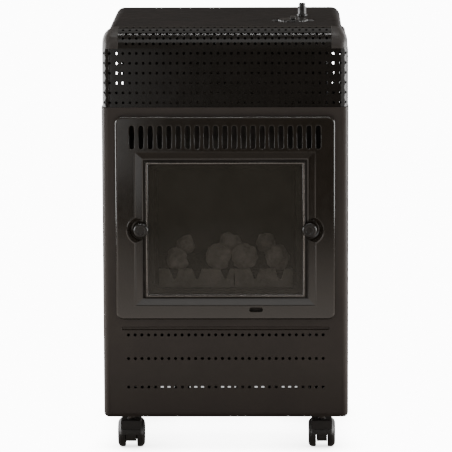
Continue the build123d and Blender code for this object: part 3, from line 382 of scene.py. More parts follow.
def shift(bm, verts, vector):
    """Moves vertices by a vector."""
    bmesh.ops.translate(bm, verts=verts, vec=Vector(vector))


def weld(bm):
    """Joins the vertices that lie on each other. The same one of them stays in each run."""
    by_place = sorted(bm.verts, key=lambda vert: tuple(round(part, 3) for part in vert.co))
    rank = {vert: number for number, vert in enumerate(by_place)}
    bm.verts.sort(key=lambda vert: rank[vert])
    bmesh.ops.remove_doubles(bm, verts=bm.verts[:], dist=0.02)


def mirror(bm):
    """Turns a right-hand piece into a left-hand one."""
    bmesh.ops.scale(bm, vec=(-1, 1, 1), verts=bm.verts[:])


def score(bm, faces, point, normal):
    """Divides faces along a plane."""
    edges = dict.fromkeys(edge for face in faces for edge in face.edges)
    verts = dict.fromkeys(vert for face in faces for vert in face.verts)
    bmesh.ops.bisect_plane(bm, geom=[*verts, *edges, *faces], plane_co=point, plane_no=normal)


def slice_off(bm, point, normal, fill=False):
    """Cuts away what lies on the side that the normal points to."""
    cut = bmesh.ops.bisect_plane(
        bm,
        geom=bm.verts[:] + bm.edges[:] + bm.faces[:],
        plane_co=Vector(point),
        plane_no=Vector(normal),
        clear_outer=True,
    )
    if fill:
        fill_between(bm, edges_in(cut["geom_cut"]))


def round_edges(bm, chosen, radius, steps):
    """Rounds the chosen edges."""
    bmesh.ops.bevel(
        bm,
        geom=chosen,
        offset=radius,
        offset_type="OFFSET",
        segments=steps,
        profile=0.5,
        affect="EDGES",
        material=-1,
        clamp_overlap=False,
    )


def box_between(bm, low, high):
    """Vertices of a new box from corner to corner."""
    low, high = Vector(low), Vector(high)
    made = bmesh.ops.create_cube(bm, size=1)["verts"]
    bmesh.ops.scale(bm, vec=high - low, verts=made)
    shift(bm, made, (low + high) / 2)
    return made


def block(bm, low, high, bevel, steps=2):
    """A box from corner to corner with its edges rounded."""
    round_edges(bm, edges_of(box_between(bm, low, high)), bevel, steps)


def open_box(bm, low, high, missing):
    """A box without the faces that look in the missing directions."""
    box_between(bm, low, high)
    bm.normal_update()
    gone = [face for face in bm.faces if any(face.normal.dot(aim) > 0.9 for aim in missing)]
    bmesh.ops.delete(bm, geom=gone, context="FACES")


def framed(bm, direction):
    """Insets the largest face toward a direction by a narrow rim, and gives the face inside it."""
    outer = largest_toward(bm, direction)
    bmesh.ops.inset_individual(bm, faces=[outer], thickness=1.0, use_even_offset=True)
    return largest_toward(bm, direction)


def open_line(bm, points):
    """Vertices and edges of a line through the points."""
    verts = [bm.verts.new(point) for point in points]
    return verts, [bm.edges.new(pair) for pair in zip(verts, verts[1:])]


def closed_line(bm, points):
    """Closed edge loop through the points."""
    verts, edges = open_line(bm, points)
    return edges + [bm.edges.new((verts[-1], verts[0]))]


def rectangle(bm, low, high, outset, y):
    """Upright rectangular edge loop, this far outside the corners."""
    ends = {-1: low - Vector((outset, 0, outset)), 1: high + Vector((outset, 0, outset))}
    return closed_line(bm, [(ends[across].x, y, ends[up].z) for across, up in CORNERS])


def hole(bm, place, radius, stretch=(0, 0, 0), level=False, steps=16):
    """Edge loop of a round hole, stretched to a long one, in an upright or level sheet."""
    tilt = Matrix() if level else Matrix.Rotation(math.pi / 2, 4, "X")
    made = bmesh.ops.create_circle(bm, segments=steps, radius=radius, matrix=tilt)["verts"]
    for vert in made:
        for axis, amount in enumerate(stretch):
            if abs(vert.co[axis]) > 1e-4:
                vert.co[axis] += math.copysign(amount, vert.co[axis])
    shift(bm, made, place)
    return edges_of(made)


def fill_between(bm, edges):
    """Flat faces between the outer loop and the holes' loops."""
    bmesh.ops.triangle_fill(bm, use_beauty=True, use_dissolve=False, edges=edges)


def punch(bm, face, loops):
    """Takes a face out and fills what stays of it round the loops."""
    edges = list(face.edges)
    bmesh.ops.delete(bm, geom=[face], context="FACES_ONLY")
    fill_between(bm, edges + [edge for loop in loops for edge in loop])


def sink(bm, edges, moves):
    """Extrudes an edge loop step by step; each move maps a point to its next place."""
    for move in moves:
        grown = bmesh.ops.extrude_edge_only(bm, edges=edges)["geom"]
        for vert in points_in(grown):
            vert.co = move(vert.co.copy())
        edges = edges_in(grown)
    return edges


def rim_moves(middle, half, steps, out):
    """Moves for sink that draw a hole's rim in by (inset, depth) steps, the depths along a direction.

    Half is the reach of the hole's core each way: nothing for a round hole, a line for a long one.
    """
    middle, out = Vector(middle), Vector(out)

    def stepped(inset, depth):
        def move(p):
            held = [max(-reach, min(reach, gap)) for gap, reach in zip(p - middle, half)]
            core = middle + Vector(held)
            core += out * (p - core).dot(out)
            return p + (core - p).normalized() * inset + out * depth

        return move

    return [stepped(inset, depth) for inset, depth in steps]


def steps_along(profile):
    """The (inset, depth) steps between the points of a profile of (radius, depth)."""
    return [(r - to_r, to_depth - depth) for (r, depth), (to_r, to_depth) in zip(profile, profile[1:])]


def bridge(bm, loops, closed=False):
    """Walls between edge loops, each with the next."""
    pairs = list(zip(loops, loops[1:])) + ([(loops[-1], loops[0])] if closed else [])
    for first, second in pairs:
        bmesh.ops.bridge_loops(bm, edges=first + second)


def slab(bm, points, draw):
    """A plate: an outline filled and drawn out by a vector."""
    face = bmesh.ops.edgeloop_fill(bm, edges=closed_line(bm, points))["faces"]
    shift(bm, points_in(bmesh.ops.extrude_face_region(bm, geom=face)["geom"]), draw)


def turned(bm, profile, centre, axis, steps=32):
    """Turns a profile of (radius, height) points about an axis through the centre."""
    turn = Z.rotation_difference(Vector(axis)).to_matrix().to_4x4()
    place = Matrix.Translation(Vector(centre)) @ turn
    verts, edges = open_line(bm, [place @ Vector((radius, 0, height)) for radius, height in profile])
    bmesh.ops.spin(
        bm,
        geom=verts + edges,
        cent=Vector(centre),
        axis=Vector(axis),
        angle=math.tau,
        steps=steps,
        use_merge=True,
    )
    weld(bm)


# ---------------------------------------------------------------- outlines


def spaced(count, pitch):
    """Places at a pitch, even about the middle."""
    return [(number - (count - 1) / 2) * pitch for number in range(count)]


def arc(middle, radii, start, end, steps):
    """Points of a round or oval arc from one angle to another."""
    turns = [math.radians(start + (end - start) * step / steps) for step in range(steps + 1)]
    return [
        (middle[0] + radii[0] * math.cos(turn), middle[1] + radii[1] * math.sin(turn)) for turn in turns
    ]


def soft_bend(before, corner, after, reach, steps):
    """Points of a smooth bend in place of a corner, starting and ending this far from it."""
    start = corner + (before - corner).normalized() * reach
    end = corner + (after - corner).normalized() * reach
    shares = [step / steps for step in range(steps + 1)]
    return [start * (1 - t) ** 2 + corner * 2 * t * (1 - t) + end * t**2 for t in shares]


def rounded(profile, radius, steps=4):
    """The profile with its inner corners rounded."""
    points = [Vector((*p, 0)) for p in profile]
    made = [points[0]]
    for before, corner, after in zip(points, points[1:], points[2:]):
        reach = min(radius, (before - corner).length / 2.2, (after - corner).length / 2.2)
        made += soft_bend(before, corner, after, reach, steps)
    made.append(points[-1])
    return [(p.x, p.y) for p in made]


# ---------------------------------------------------------------- finished pieces


def new_object(name, data):
    """A new object in the scene."""
    made = bpy.data.objects.new(name, data)
    bpy.context.scene.collection.objects.link(made)
    return made


def enter(made, body, nodes):
    """Puts a piece on the body it rides on, and hides the nodes it stands for."""
    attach(made, body)
    if nodes:
        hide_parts(*nodes)


def piece(name, bm, material, nodes=(), body="cabinet", toward=None, wall=0.0, crease=35):
    """Turns a mesh in millimetres into a finished piece in metres that rides on a body.

    A closed shape has its faces turned outwards; an open sheet is turned so that most of its area
    looks toward a direction, and gets its wall's thickness on the other side.
    """
    weld(bm)
    bmesh.ops.recalc_face_normals(bm, faces=bm.faces[:])
    if toward is not None:
        aim = Vector(toward)
        if sum(face.normal.dot(aim) * face.calc_area() for face in bm.faces) < 0:
            bmesh.ops.reverse_faces(bm, faces=bm.faces[:])
    bmesh.ops.scale(bm, vec=(MM, MM, MM), verts=bm.verts[:])
    for face in bm.faces:
        face.smooth = True
    for edge in bm.edges:
        edge.smooth = len(edge.link_faces) == 2 and edge.calc_face_angle(0) < math.radians(crease)
    mesh = bpy.data.meshes.new(name)
    bm.to_mesh(mesh)
    bm.free()
    mesh.materials.append(material)
    made = new_object(name, mesh)
    if wall:
        skin = made.modifiers.new("wall", "SOLIDIFY")
        skin.thickness = wall * MM
        skin.offset = -1
        skin.use_even_offset = True
    enter(made, body, nodes)


def drawn_tube(name, points, radius, bend, material, nodes):
    """A drawn pipe or a clipped lead: a round tube with smooth bends at its corners."""
    corners = [Vector(p) for p in points]
    stops = [corners[0]]
    for before, corner, after in zip(corners, corners[1:], corners[2:]):
        stops += soft_bend(before, corner, after, bend, 8)
    stops.append(corners[-1])
    curve = bpy.data.curves.new(name, "CURVE")
    curve.dimensions = "3D"
    line = curve.splines.new("POLY")
    line.points.add(len(stops) - 1)
    for point, stop in zip(line.points, stops):
        point.co = (*(stop * MM), 1)
    curve.bevel_depth = radius * MM
    curve.bevel_resolution = 4
    curve.use_fill_caps = True
    curve.materials.append(material)
    enter(new_object(name, curve), "cabinet", nodes)


# ---------------------------------------------------------------- perforated guard

# The guard is one sheet, laid out flat with u round the corners and v up the face and over the crown.
hole_pitch = 11.5
hole_rise = 16.8
hole_radius = 2.4
hole_top_row = 692
hole_rows = 6
hole_columns = 43
hole_step = hole_pitch / 4
crown_pitch = 9.3
crown_first = 8.4
crown_rows = 5
crown_columns = 30
guard_corner = 15
guard_flat = guard_high.x - guard_corner
guard_arc = math.pi / 2 * guard_corner
guard_bend_y = guard_low.y + guard_corner
lid_ledge = 14
# Reach of the rear hems inwards: at the notch, and at the left and right elsewhere.
hem_root = 12.2
hem_left, hem_right = 21.4, 22.8
pilot_notch = (675, 684)


def wrapped(u, v):
    """Place of a point of the unrolled guard: u along the wrap, v up the face and over the crown."""
    if v > side_top:
        turn = (v - side_top) / crown_radius
        u = max(-crown_end_x, min(crown_end_x, u))
        back, up = crown_radius * math.cos(turn), crown_radius * math.sin(turn)
        return Vector((u, crown_end_y - back, side_top + up))
    past = abs(u) - guard_flat
    if past <= 0:
        return Vector((u, guard_low.y, v))
    turn = min(past, guard_arc) / guard_corner
    x = guard_flat + guard_corner * math.sin(turn)
    y = guard_bend_y - guard_corner * math.cos(turn) + max(past - guard_arc, 0)
    return Vector((math.copysign(x, u), y, v))


def plain_strip(bm, u_from, u_to, v_from, v_to, rows):
    """Unperforated part of the unrolled sheet, divided like the cells beside it."""
    columns = max(1, round((u_to - u_from) / hole_step))
    made = bmesh.ops.create_grid(bm, x_segments=columns, y_segments=rows, size=1)["verts"]
    bmesh.ops.scale(bm, vec=((u_to - u_from) / 2, (v_to - v_from) / 2, 1), verts=made)
    shift(bm, made, ((u_from + u_to) / 2, (v_from + v_to) / 2, 0))


def perforated_row(bm, middle, height, count, u_end):
    """A row of cells, each a round hole in a rectangle, with plain strips at its ends."""
    rim = bmesh.ops.create_circle(bm, segments=16, radius=hole_radius)["verts"]
    border = bmesh.ops.create_circle(bm, segments=16, radius=1)["verts"]
    for vert in border:
        reach = max(abs(vert.co.x), abs(vert.co.y))
        across, up = (round(c / reach * 2) / 2 for c in vert.co.xy)
        vert.co = (across * hole_pitch / 2, up * height / 2, 0)
    faces = bmesh.ops.bridge_loops(bm, edges=edges_of(rim) + edges_of(border))["faces"]
    cell = rim + border + edges_of(rim + border) + faces
    first, *others = spaced(count, hole_pitch)
    for u in others:
        copy = bmesh.ops.duplicate(bm, geom=cell)["geom"]
        shift(bm, points_in(copy), (u, middle, 0))
    shift(bm, rim + border, (first, middle, 0))
    u_start = hole_pitch / 2 - first
    for u_from, u_to in ((-u_end, -u_start), (u_start, u_end)):
        plain_strip(bm, u_from, u_to, middle - height / 2, middle + height / 2, 4)


def make_guard():
    """One folded sheet: rows of holes round both corners, and closer rows over the crown."""
    bm = bmesh.new()
    u_cells = hole_columns * hole_pitch / 2
    u_end = guard_flat + guard_arc + guard_high.y - guard_bend_y
    u_end = u_cells + round((u_end - u_cells) / hole_step) * hole_step
    lowest = hole_top_row - (hole_rows - 1) * hole_rise
    for row in range(hole_rows):
        perforated_row(bm, lowest + row * hole_rise, hole_rise, hole_columns, u_end)
    plain_strip(bm, -u_end, u_end, guard_low.z, lowest - hole_rise / 2, 2)
    crown_u = round(crown_end_x / hole_step + 0.5) * hole_step
    crown_v = side_top + crown_first
    for row in range(crown_rows):
        # Every second row of the crown is shifted by half a pitch.
        perforated_row(bm, crown_v + row * crown_pitch, crown_pitch, crown_columns + row % 2, crown_u)
    plain_strip(bm, -crown_u, crown_u, side_top, crown_v - crown_pitch / 2, 1)
    crown_done = crown_v + (crown_rows - 0.5) * crown_pitch
    plain_strip(bm, -crown_u, crown_u, crown_done, side_top + math.pi / 2 * crown_radius, 3)
    # The face's top row ends a little off the fold where the crown starts.
    fold_gap = 0.6
    for vert in bm.verts:
        if abs(vert.co.y - side_top) < fold_gap:
            vert.co.y = side_top
    weld(bm)
    for vert in bm.verts:
        vert.co = wrapped(vert.co.x, vert.co.y)
    # Ledges at the sides that the lid stands on.
    for side in SIDES.values():
        seat = rims_where(
            bm,
            lambda p: p.z > side_top - near and side * p.x > guard_high.x - 1 and p.y > crown_end_y - 3,
        )
        sink(bm, seat, [lambda p: p - X * side * lid_ledge])
    # Rear hems, with a notch at the right that the pilot's pipe passes through.
    rear = rims_where(bm, lambda p: p.y > guard_high.y - 2 and p.z < side_top + near)
    upright = [edge for edge in rear if run(edge, Y) < near and run(edge, X) < near]
    root = sink(bm, upright, [lambda p: p - X * math.copysign(hem_root, p.x)])
    notch_low, notch_high = pilot_notch

    def hem_end(p):
        reach = hem_left if p.x < 0 else hem_right
        return p - X * math.copysign(reach - hem_root, p.x)

    sink(bm, without(root, lambda p: p.x > 0 and notch_low < p.z < notch_high), [hem_end])
    nodes = ["perforated_guard"]
    piece("guard_wrap", bm, guard_paint, nodes, toward=-Y, wall=sheet)


# ---------------------------------------------------------------- corner caps

cap_radius = 15
cap_top_radius = 24
cap_wall = 1.6
cap_proud = 0.5


def make_cap(word):
    """Moulded cap: the corner's plan turned up over the crown, its radius growing on the way."""
    bm = bmesh.new()
    outer, reach = cap_high.x + cap_proud, crown_radius + cap_proud
    flat_end, flat_out = outer - cap_radius, reach - cap_radius
    plan = [(crown_end_x, reach - cap_proud), (crown_end_x + 0.15, reach - 0.15)]
    plan += [(crown_end_x + 0.6 + step * 2, reach) for step in range(6)]
    plan += arc((flat_end, flat_out), (cap_radius, cap_radius), 90, 0, 10)
    plan += [(outer, flat_out * (1 - step / 6)) for step in range(1, 7)]
    verts, edges = open_line(bm, [(x, crown_end_y - out, side_top) for x, out in plan])
    bmesh.ops.spin(
        bm,
        geom=verts + edges,
        cent=(0, crown_end_y, side_top),
        axis=(-1, 0, 0),
        angle=math.pi / 2,
        steps=16,
    )
    weld(bm)
    for vert in bm.verts:
        x, back, up = vert.co.x, crown_end_y - vert.co.y, vert.co.z - side_top
        out, turn = math.hypot(back, up), math.atan2(up, back)
        radius = cap_radius + (cap_top_radius - cap_radius) * math.sin(turn) ** 2
        if x < flat_end and out > flat_out:
            share = (x - crown_end_x) / (flat_end - crown_end_x)
            x = crown_end_x + share * (outer - radius - crown_end_x)
        elif out > flat_out + 0.01:
            swing = math.atan2(x - flat_end, out - flat_out)
            x = outer - radius + radius * math.sin(swing)
            out = reach - radius + radius * math.cos(swing)
        else:
            out *= (reach - radius) / flat_out
        vert.co = (x, crown_end_y - out * math.cos(turn), side_top + out * math.sin(turn))
    if word == "left":
        mirror(bm)
    nodes, toward = [f"corner_cap_{word}"], (SIDES[word], -1, 1)
    piece(f"cap_{word}", bm, cap_plastic, nodes, toward=toward, wall=cap_wall)


# ---------------------------------------------------------------- cabinet panels

stove_cutout_rim = 10
vent_rows = (207.7, 166.5, 116.7)
vent_pitch = 11.5
vent_count = 30
vent_radius = 2.7
swage_z = 219
swage_half_length = 174.75
swage_half_width = 3.25
swage_lip = 1
# Steps of (inset, depth) down the swage's wall.
swage_steps = ((swage_lip, 0), (0.15, 0.15), (0.25, 0.45), (0.7, 2.4), (0.3, 0.4))
panel_hem = 9
# The hem's corners are drawn in by this share of the width.
panel_hem_draw = 0.955


def make_front_panel():
    """Folded panel with the stove's cut-out, a pressed swage and three rows of air holes."""
    bm = bmesh.new()
    open_box(bm, panel_low, panel_high, (Y, Z))
    upright = [e for e in edges_where(bm, lambda p: p.y < front_y + 1) if run(e, Z) > 1]
    round_edges(bm, upright, corner_radius, 8)
    round_edges(bm, folds_where(bm, lambda p: p.z < panel_low.z + near), bottom_bend, 4)
    face = framed(bm, -Y)
    cutout = rectangle(bm, stove_low, stove_high, -stove_cutout_rim, front_y)
    swage_core = (swage_half_length, 0, 0)
    swage = hole(bm, (0, front_y, swage_z), swage_half_width + swage_lip, swage_core)
    vents = [
        hole(bm, (x, front_y, row), vent_radius) for row in vent_rows for x in spaced(vent_count, vent_pitch)
    ]
    punch(bm, face, [cutout, swage, *vents])
    fill_between(bm, sink(bm, swage, rim_moves((0, 0, swage_z), swage_core, swage_steps, Y)))
    bmesh.ops.delete(bm, geom=[largest_toward(bm, -Z)], context="FACES_ONLY")
    foot = rims_where(bm, lambda p: p.z < panel_low.z + near)

    def hem_in(p):
        back = panel_hem if p.y < front_y + 2 * bottom_bend else 0
        return Vector((p.x * panel_hem_draw, p.y + back, p.z))

    sink(bm, without(foot, lambda p: p.y > panel_high.y - near), [hem_in])
    piece("front_sheet", bm, cabinet_paint, ["front_panel"], toward=-Y, wall=sheet)


tray_wall = 1.5
tray_rim = 8
stem_hole_radius = 5.8
platform_y = 25
platform_core = (122, 107, 0)
platform_corner = 18
# Steps of (inset, rise) up the platform's wall.
platform_steps = ((0.6, 0.4), (1.4, 3.2), (0.6, 0.4))
platform_rise = 4
tray_slot_pitch = 54.7
tray_slot_radius = 3
# Each row of air slots: its place from front to back, and the reach of a slot's core.
tray_slot_cores = ((3, (11, 2.5, 0)), (29, (11, 7.5, 0)))
ear_x = 127.8
ear_half = 4.5
pin_x = 120.5


def make_base_tray():
    """Floor of the cabinet: a folded tray with a raised platform, air slots and ears for the cover."""
    low, high = box_mm("base_tray")
    bm = bmesh.new()
    open_box(bm, low, (high.x, high.y, low.z + tray_rim), (Z,))
    upright = [e for e in edges_where(bm, lambda p: p.y < low.y + 1) if run(e, Z) > 1]
    round_edges(bm, upright, corner_radius - sheet, 6)
    foot = without(folds_where(bm, lambda p: p.z < low.z + near), lambda p: p.y > high.y - near)
    round_edges(bm, foot, bottom_bend - sheet, 4)
    face = framed(bm, -Z)
    platform = hole(bm, (0, platform_y, low.z), platform_corner, platform_core, level=True)
    stems = []
    for place in caster_places:
        axle = axle_of(place)
        stem = (axle.x, axle.y - caster_trail, low.z)
        stems.append(hole(bm, stem, stem_hole_radius, level=True))
    punch(bm, face, [platform, *stems])
    top = sink(bm, platform, rim_moves((0, platform_y, 0), platform_core, platform_steps, Z))
    slots = [
        edge
        for x in spaced(5, tray_slot_pitch)
        for y, core in tray_slot_cores
        for edge in hole(bm, (x, y, low.z + platform_rise), tray_slot_radius, core, level=True)
    ]
    fill_between(bm, top + slots)
    nodes = ["base_tray"]
    piece("floor_tray", bm, cabinet_paint, nodes, toward=-Z, wall=tray_wall)
    bm = bmesh.new()
    pin = [(0, -7), (2.7, -7), (3, -6.6), (3, 6.6), (0, 6.6)]
    for side in SIDES.values():
        x = side * ear_x
        ear_low = (x - tray_wall, cover_pivot_y - ear_half, low.z + sheet)
        block(bm, ear_low, (x + tray_wall, cover_pivot_y + ear_half, high.z), 1.2)
        turned(bm, pin, (side * pin_x, cover_pivot_y, cover_pivot_z), X, 24)
    piece("tray_ears", bm, cabinet_paint, nodes)


side_fold = 8
side_hem = 14
guard_seat = 55
joggle = (1.5, 1, 0)
tongue = 11


def make_side_panel(word):
    """Folded side with a step for the guard, a rear hem, and a joggled tongue behind the front panel."""
    bm = bmesh.new()
    open_box(bm, (side_low.x, panel_high.y + panel_gap, side_low.z), side_high, (-X, Y, -Y))
    for level, radius, steps in ((side_low.z, bottom_bend, 4), (side_top, side_fold, 5)):
        fold = edges_where(bm, lambda p: abs(p.z - level) < near and p.x > half_width - near)
        round_edges(bm, fold, radius, steps)
    seat_y, seat_z = front_y + guard_seat, panel_high.z
    score(bm, bm.faces[:], (0, seat_y, 0), Y)
    score(bm, faces_where(bm, lambda p: p.y < seat_y), (0, 0, seat_z), Z)
    gone = faces_where(bm, lambda p: p.y < seat_y and p.z > seat_z)
    bmesh.ops.delete(bm, geom=gone, context="FACES")
    rear_part = faces_where(bm, lambda p: p.y > seat_y and p.x > half_width - 5)
    score(bm, rear_part, (0, 0, cover_high.z), Z)

    def outside(p):
        return p.x > half_width - near

    hem = rims_where(bm, lambda p: outside(p) and p.y > side_high.y - near and p.z < cover_high.z + near)
    sink(bm, hem, [lambda p: p - X * side_hem])
    above_bend = side_low.z + bottom_bend - near
    front = rims_where(bm, lambda p: outside(p) and p.y < panel_high.y + 1 and p.z > above_bend)
    sink(bm, front, [lambda p: p - Vector(joggle), lambda p: p - Y * tongue])
    if word == "left":
        mirror(bm)
    nodes, toward = [f"{word}_side_panel"], (SIDES[word], 0, 0)
    piece(f"side_sheet_{word}", bm, cabinet_paint, nodes, toward=toward, wall=sheet)


lid_edge = 16
lid_end_edge = 2.4
lid_skirt = 12
dish_radius = 38
dish_flat = 1.2
dish_lip = 3
dish_depth = 10
spindle_hole = 5.5
igniter_hole = 8.3


def make_lid():
    """Flat lid with rounded flanks, open toward the crown, with the knob's sunken dish."""
    bm = bmesh.new()
    open_box(bm, lid_low, lid_high, (-Z,))
    flanks = [e for e in edges_where(bm, lambda p: p.z > lid_top - near) if run(e, X) < near]
    round_edges(bm, flanks, lid_edge, 8)
    ends = folds_where(
        bm,
        lambda p: p.z > side_top + 1 and (p.y < lid_low.y + near or p.y > lid_high.y - near),
    )
    round_edges(bm, [edge for edge in ends if run(edge, Y) < near], lid_end_edge, 4)
    skirt_z = lid_top - lid_skirt
    for point, normal in ((Z * skirt_z, Z), (X * crown_end_x, X), (X * -crown_end_x, X)):
        score(bm, faces_toward(bm, -Y), point, normal)
    gone = []
    for face in faces_toward(bm, -Y):
        middle = face.calc_center_median()
        if abs(middle.x) < crown_end_x and middle.z < skirt_z:
            gone.append(face)
    bmesh.ops.delete(bm, geom=gone, context="FACES")
    face = framed(bm, Z)
    dish = [(dish_radius + dish_flat, 0)]
    dish += arc((dish_radius, dish_lip), (dish_lip, dish_lip), -90, -180, 4)
    dish += [(34.6, 7.4), (34, 8.9), (32.9, 9.75), (31, dish_depth), (12, dish_depth)]
    dish.append((spindle_hole, dish_depth))
    lip = hole(bm, (knob_x, knob_y, lid_top), dish_radius + dish_flat, level=True, steps=64)
    igniter_rim = hole(bm, (igniter_x, igniter_y, lid_top), igniter_hole, level=True, steps=24)
    punch(bm, face, [lip, igniter_rim])
    sink(bm, lip, rim_moves((knob_x, knob_y, 0), (0, 0, 0), steps_along(dish), -Z))
    piece("lid_shell", bm, lid_paint, ["top_lid"], toward=Z, wall=sheet)


# ---------------------------------------------------------------- stove front and window

stove_wall = 1.4
stove_corner = 12
stove_rim = 3.2
louvre_count = 21
louvre_pitch = 15.83
louvre_radius = 4.3
louvre_core = (0, 0, 15.7)
louvre_lip = 1.0
louvre_flat = 0.7
louvre_z = 550
bevel_x = 152.5
bevel_low = 260.5
bevel_high = 524
bevel_slope = 12
bevel_depth = 6
boss_radius = 23
boss_floor_radius = 17
clamp_x = 143.5
clamp_z = 390.6
sight_place = (52, stove_low.y, 253)
sight_radius = 4.3
sight_core = (7.4, 0, 0)
# Outset, depth and share of the slope that is passed: a raised lip, the slope, and a soft foot.
bevel_stations = (
    (2.8, 0, 0), (2.45, 0, 0), (2.0, -0.12, 0), (1.4, -0.34, 0), (0.8, -0.34, 0), (0.35, -0.12, 0),
    (0.08, 0.35, 0.02), (0, 1.0, 0.12),
    (0, bevel_depth * 0.9, 0.9), (-0.1, bevel_depth * 0.98, 0.98), (-0.3, bevel_depth, 1.02),
)


def bevel_outline(outset, depth, share):
    """Points of the pressed bevel at a depth, with the bosses' arcs in its upright sides."""
    inset = bevel_slope * share - outset
    half, low, high = bevel_x - inset, bevel_low + inset, bevel_high - inset
    radius = boss_radius + (boss_floor_radius - boss_radius) * share + outset
    reach = math.degrees(math.acos((half - clamp_x) / radius))
    boss = arc((clamp_x, clamp_z), (radius, radius), -reach, reach, 20)
    right = [(half, low), *boss, (half, high)]
    left = [(-x, z) for x, z in reversed(right)]
    return [(x, stove_low.y + depth, z) for x, z in right + left]


def make_stove_front():
    """Enamelled front: rolled louvres, a pressed bevel round the window, bosses and a sight slot."""
    bm = bmesh.new()
    open_box(bm, stove_low, (stove_high.x, front_y, stove_high.z), (Y,))
    round_edges(bm, [edge for edge in bm.edges if run(edge, Y) > 1], stove_corner, 8)
    round_edges(bm, folds_where(bm, lambda p: p.y < stove_low.y + near), stove_rim, 5)
    face = framed(bm, -Y)
    lip = closed_line(bm, bevel_outline(*bevel_stations[0]))
    rolled = [(louvre_radius + louvre_lip + louvre_flat, 0)]
    rolled += arc((louvre_radius + louvre_lip, louvre_lip), (louvre_lip, louvre_lip), -90, -180, 5)
    rolled.append((louvre_radius, louvre_lip + 1.6))
    louvres = {
        x: hole(bm, (x, stove_low.y, louvre_z), rolled[0][0], louvre_core)
        for x in spaced(louvre_count, louvre_pitch)
    }
    sight = hole(bm, sight_place, sight_radius, sight_core)
    punch(bm, face, [lip, sight, *louvres.values()])
    loops = [lip] + [closed_line(bm, bevel_outline(*station)) for station in bevel_stations[1:]]
    bridge(bm, loops)
    # Floors of the bosses behind the hand nuts.
    for side in SIDES.values():
        rim = [
            edge
            for edge in loops[-1]
            if all(side * v.co.x > 0 and abs(v.co.z - clamp_z) < boss_radius for v in edge.verts)
        ]
        met = dict.fromkeys(vert for edge in rim for vert in edge.verts)
        ends = [vert for vert in met if sum(edge in rim for edge in vert.link_edges) == 1]
        bmesh.ops.edgeloop_fill(bm, edges=rim + [bm.edges.new(ends)])
    # The louvres' edges are rolled inwards; the sight slot is a plain hole.
    for x, louvre in louvres.items():
        sink(bm, louvre, rim_moves((x, 0, louvre_z), louvre_core, steps_along(rolled), Y))
    sink(bm, sight, [lambda p: p + Y * 0.25, lambda p: p + Y * 1.6])
    nodes = ["stove_front"]
    piece("stove_sheet", bm, stove_enamel, nodes, toward=-Y, wall=stove_wall, crease=28)


bead_half = 2.75
bead_crown = 2
bead_rise = 0.6
trim_radius = 0.6


def make_window_frame():
    """Round bead round the glass, with a lighter metal rod along its crown that stands in for a painted
    highlight on the bead.
    """
    low, high = box_mm("window_frame")
    glass_y = box_mm("window_glass")[0].y - 0.05
    bead = arc((-bead_half, low.y + bead_rise + bead_crown), (bead_half, -bead_crown), 0, 180, 12)
    section = [(0, high.y), *bead, (-5.5, glass_y), (-2.3, glass_y), (-2.3, high.y)]
    # The rod is a painted highlight: a bright line along the bead's crown, where the bead itself only
    # catches a highlight.
    rod = arc((-bead_half, low.y + trim_radius), (trim_radius, trim_radius), 0, -315, 7)
    for name, outline, material, nodes, crease in (
        ("window_surround", section, stove_enamel, ["window_frame"], 35),
        ("window_bead_highlight", rod, bead_highlight_metal, [], 60),
    ):
        bm = bmesh.new()
        bridge(bm, [rectangle(bm, low, high, outset, y) for outset, y in outline], closed=True)
        piece(name, bm, material, nodes, crease=crease)


hand_nut_radius = 12.7
hand_nut_ribs = 32


def make_hand_nut(word):
    """Round hand nut of a window clamp: a dished face in a rounded rim, and a finely ribbed edge."""
    bm = bmesh.new()
    node = f"clamp_knob_{word}"
    low, high = box_mm(node)
    x, z = SIDES[word] * clamp_x, clamp_z
    face, radius = high.y - low.y, hand_nut_radius
    rim = [(0, 0), (radius - 0.6, 0), (radius, 0.6), (radius, face - 2.4), (radius - 2.4, face), (7.4, face)]
    dished = [(6.9, face - 0.1), (6.4, face - 0.9), (5.4, face - 1.0), (0, face - 0.8)]
    turned(bm, rounded(rim, 1.0, 3) + rounded(dished, 0.4, 2), (x, high.y, z), -Y, 64)
    for vert in bm.verts:
        across, up, depth = vert.co.x - x, vert.co.z - z, high.y - vert.co.y
        out = math.hypot(across, up)
        if out > radius - 0.3 and 0.4 < depth < face - 1.6:
            pull = 1 - 0.35 * (0.5 + 0.5 * math.cos(math.atan2(up, across) * hand_nut_ribs)) / out
            vert.co.x, vert.co.z = x + across * pull, z + up * pull
    piece(f"hand_nut_{word}", bm, knob_plastic, [node], body=node)


# ---------------------------------------------------------------- control knob and igniter

dial_disc = 8
dial_ribs = 24
grip_half = 4.5
pointer_half = 0.7
igniter_bore = 6.15


def make_control_knob():
    """Dial knob: a ribbed skirt, and a grip bar with a pale pointer line."""
    bm = bmesh.new()
    low, high = knob_low, knob_high
    radius, disc = high.x - knob_x, dial_disc
    skirt = [(0, 0), (radius - 0.8, 0), (radius, 0.8), (radius - 0.5, disc - 1.6), (radius - 2.6, disc)]
    turned(bm, rounded([*skirt, (0, disc)], 1.2, 4), (knob_x, knob_y, low.z), Z, 96)
    for vert in bm.verts:
        x, y, rise = vert.co.x - knob_x, vert.co.y - knob_y, vert.co.z - low.z
        out = math.hypot(x, y)
        if out > radius - 1.4 and 0.6 < rise < disc - 1.0:
            pull = 1 - 0.7 * max(0, math.cos(math.atan2(y, x) * dial_ribs)) / out
            vert.co.x, vert.co.y = knob_x + x * pull, knob_y + y * pull
    grip_low = (knob_x - grip_half, knob_y - radius + 3, low.z + disc - 1)
    block(bm, grip_low, (knob_x + grip_half, knob_y + radius - 3, high.z), 1.4, 3)
    nodes, body = ["control_knob"], "control_knob"
    piece("dial_knob", bm, knob_plastic, nodes, body=body)
    bm = bmesh.new()
    line_low = (knob_x - pointer_half, knob_y - radius + 4, high.z - 0.3)
    block(bm, line_low, (knob_x + pointer_half, knob_y - 4, high.z - 0.02), 0.12, 1)
    piece("dial_pointer", bm, pointer_ink, body=body)


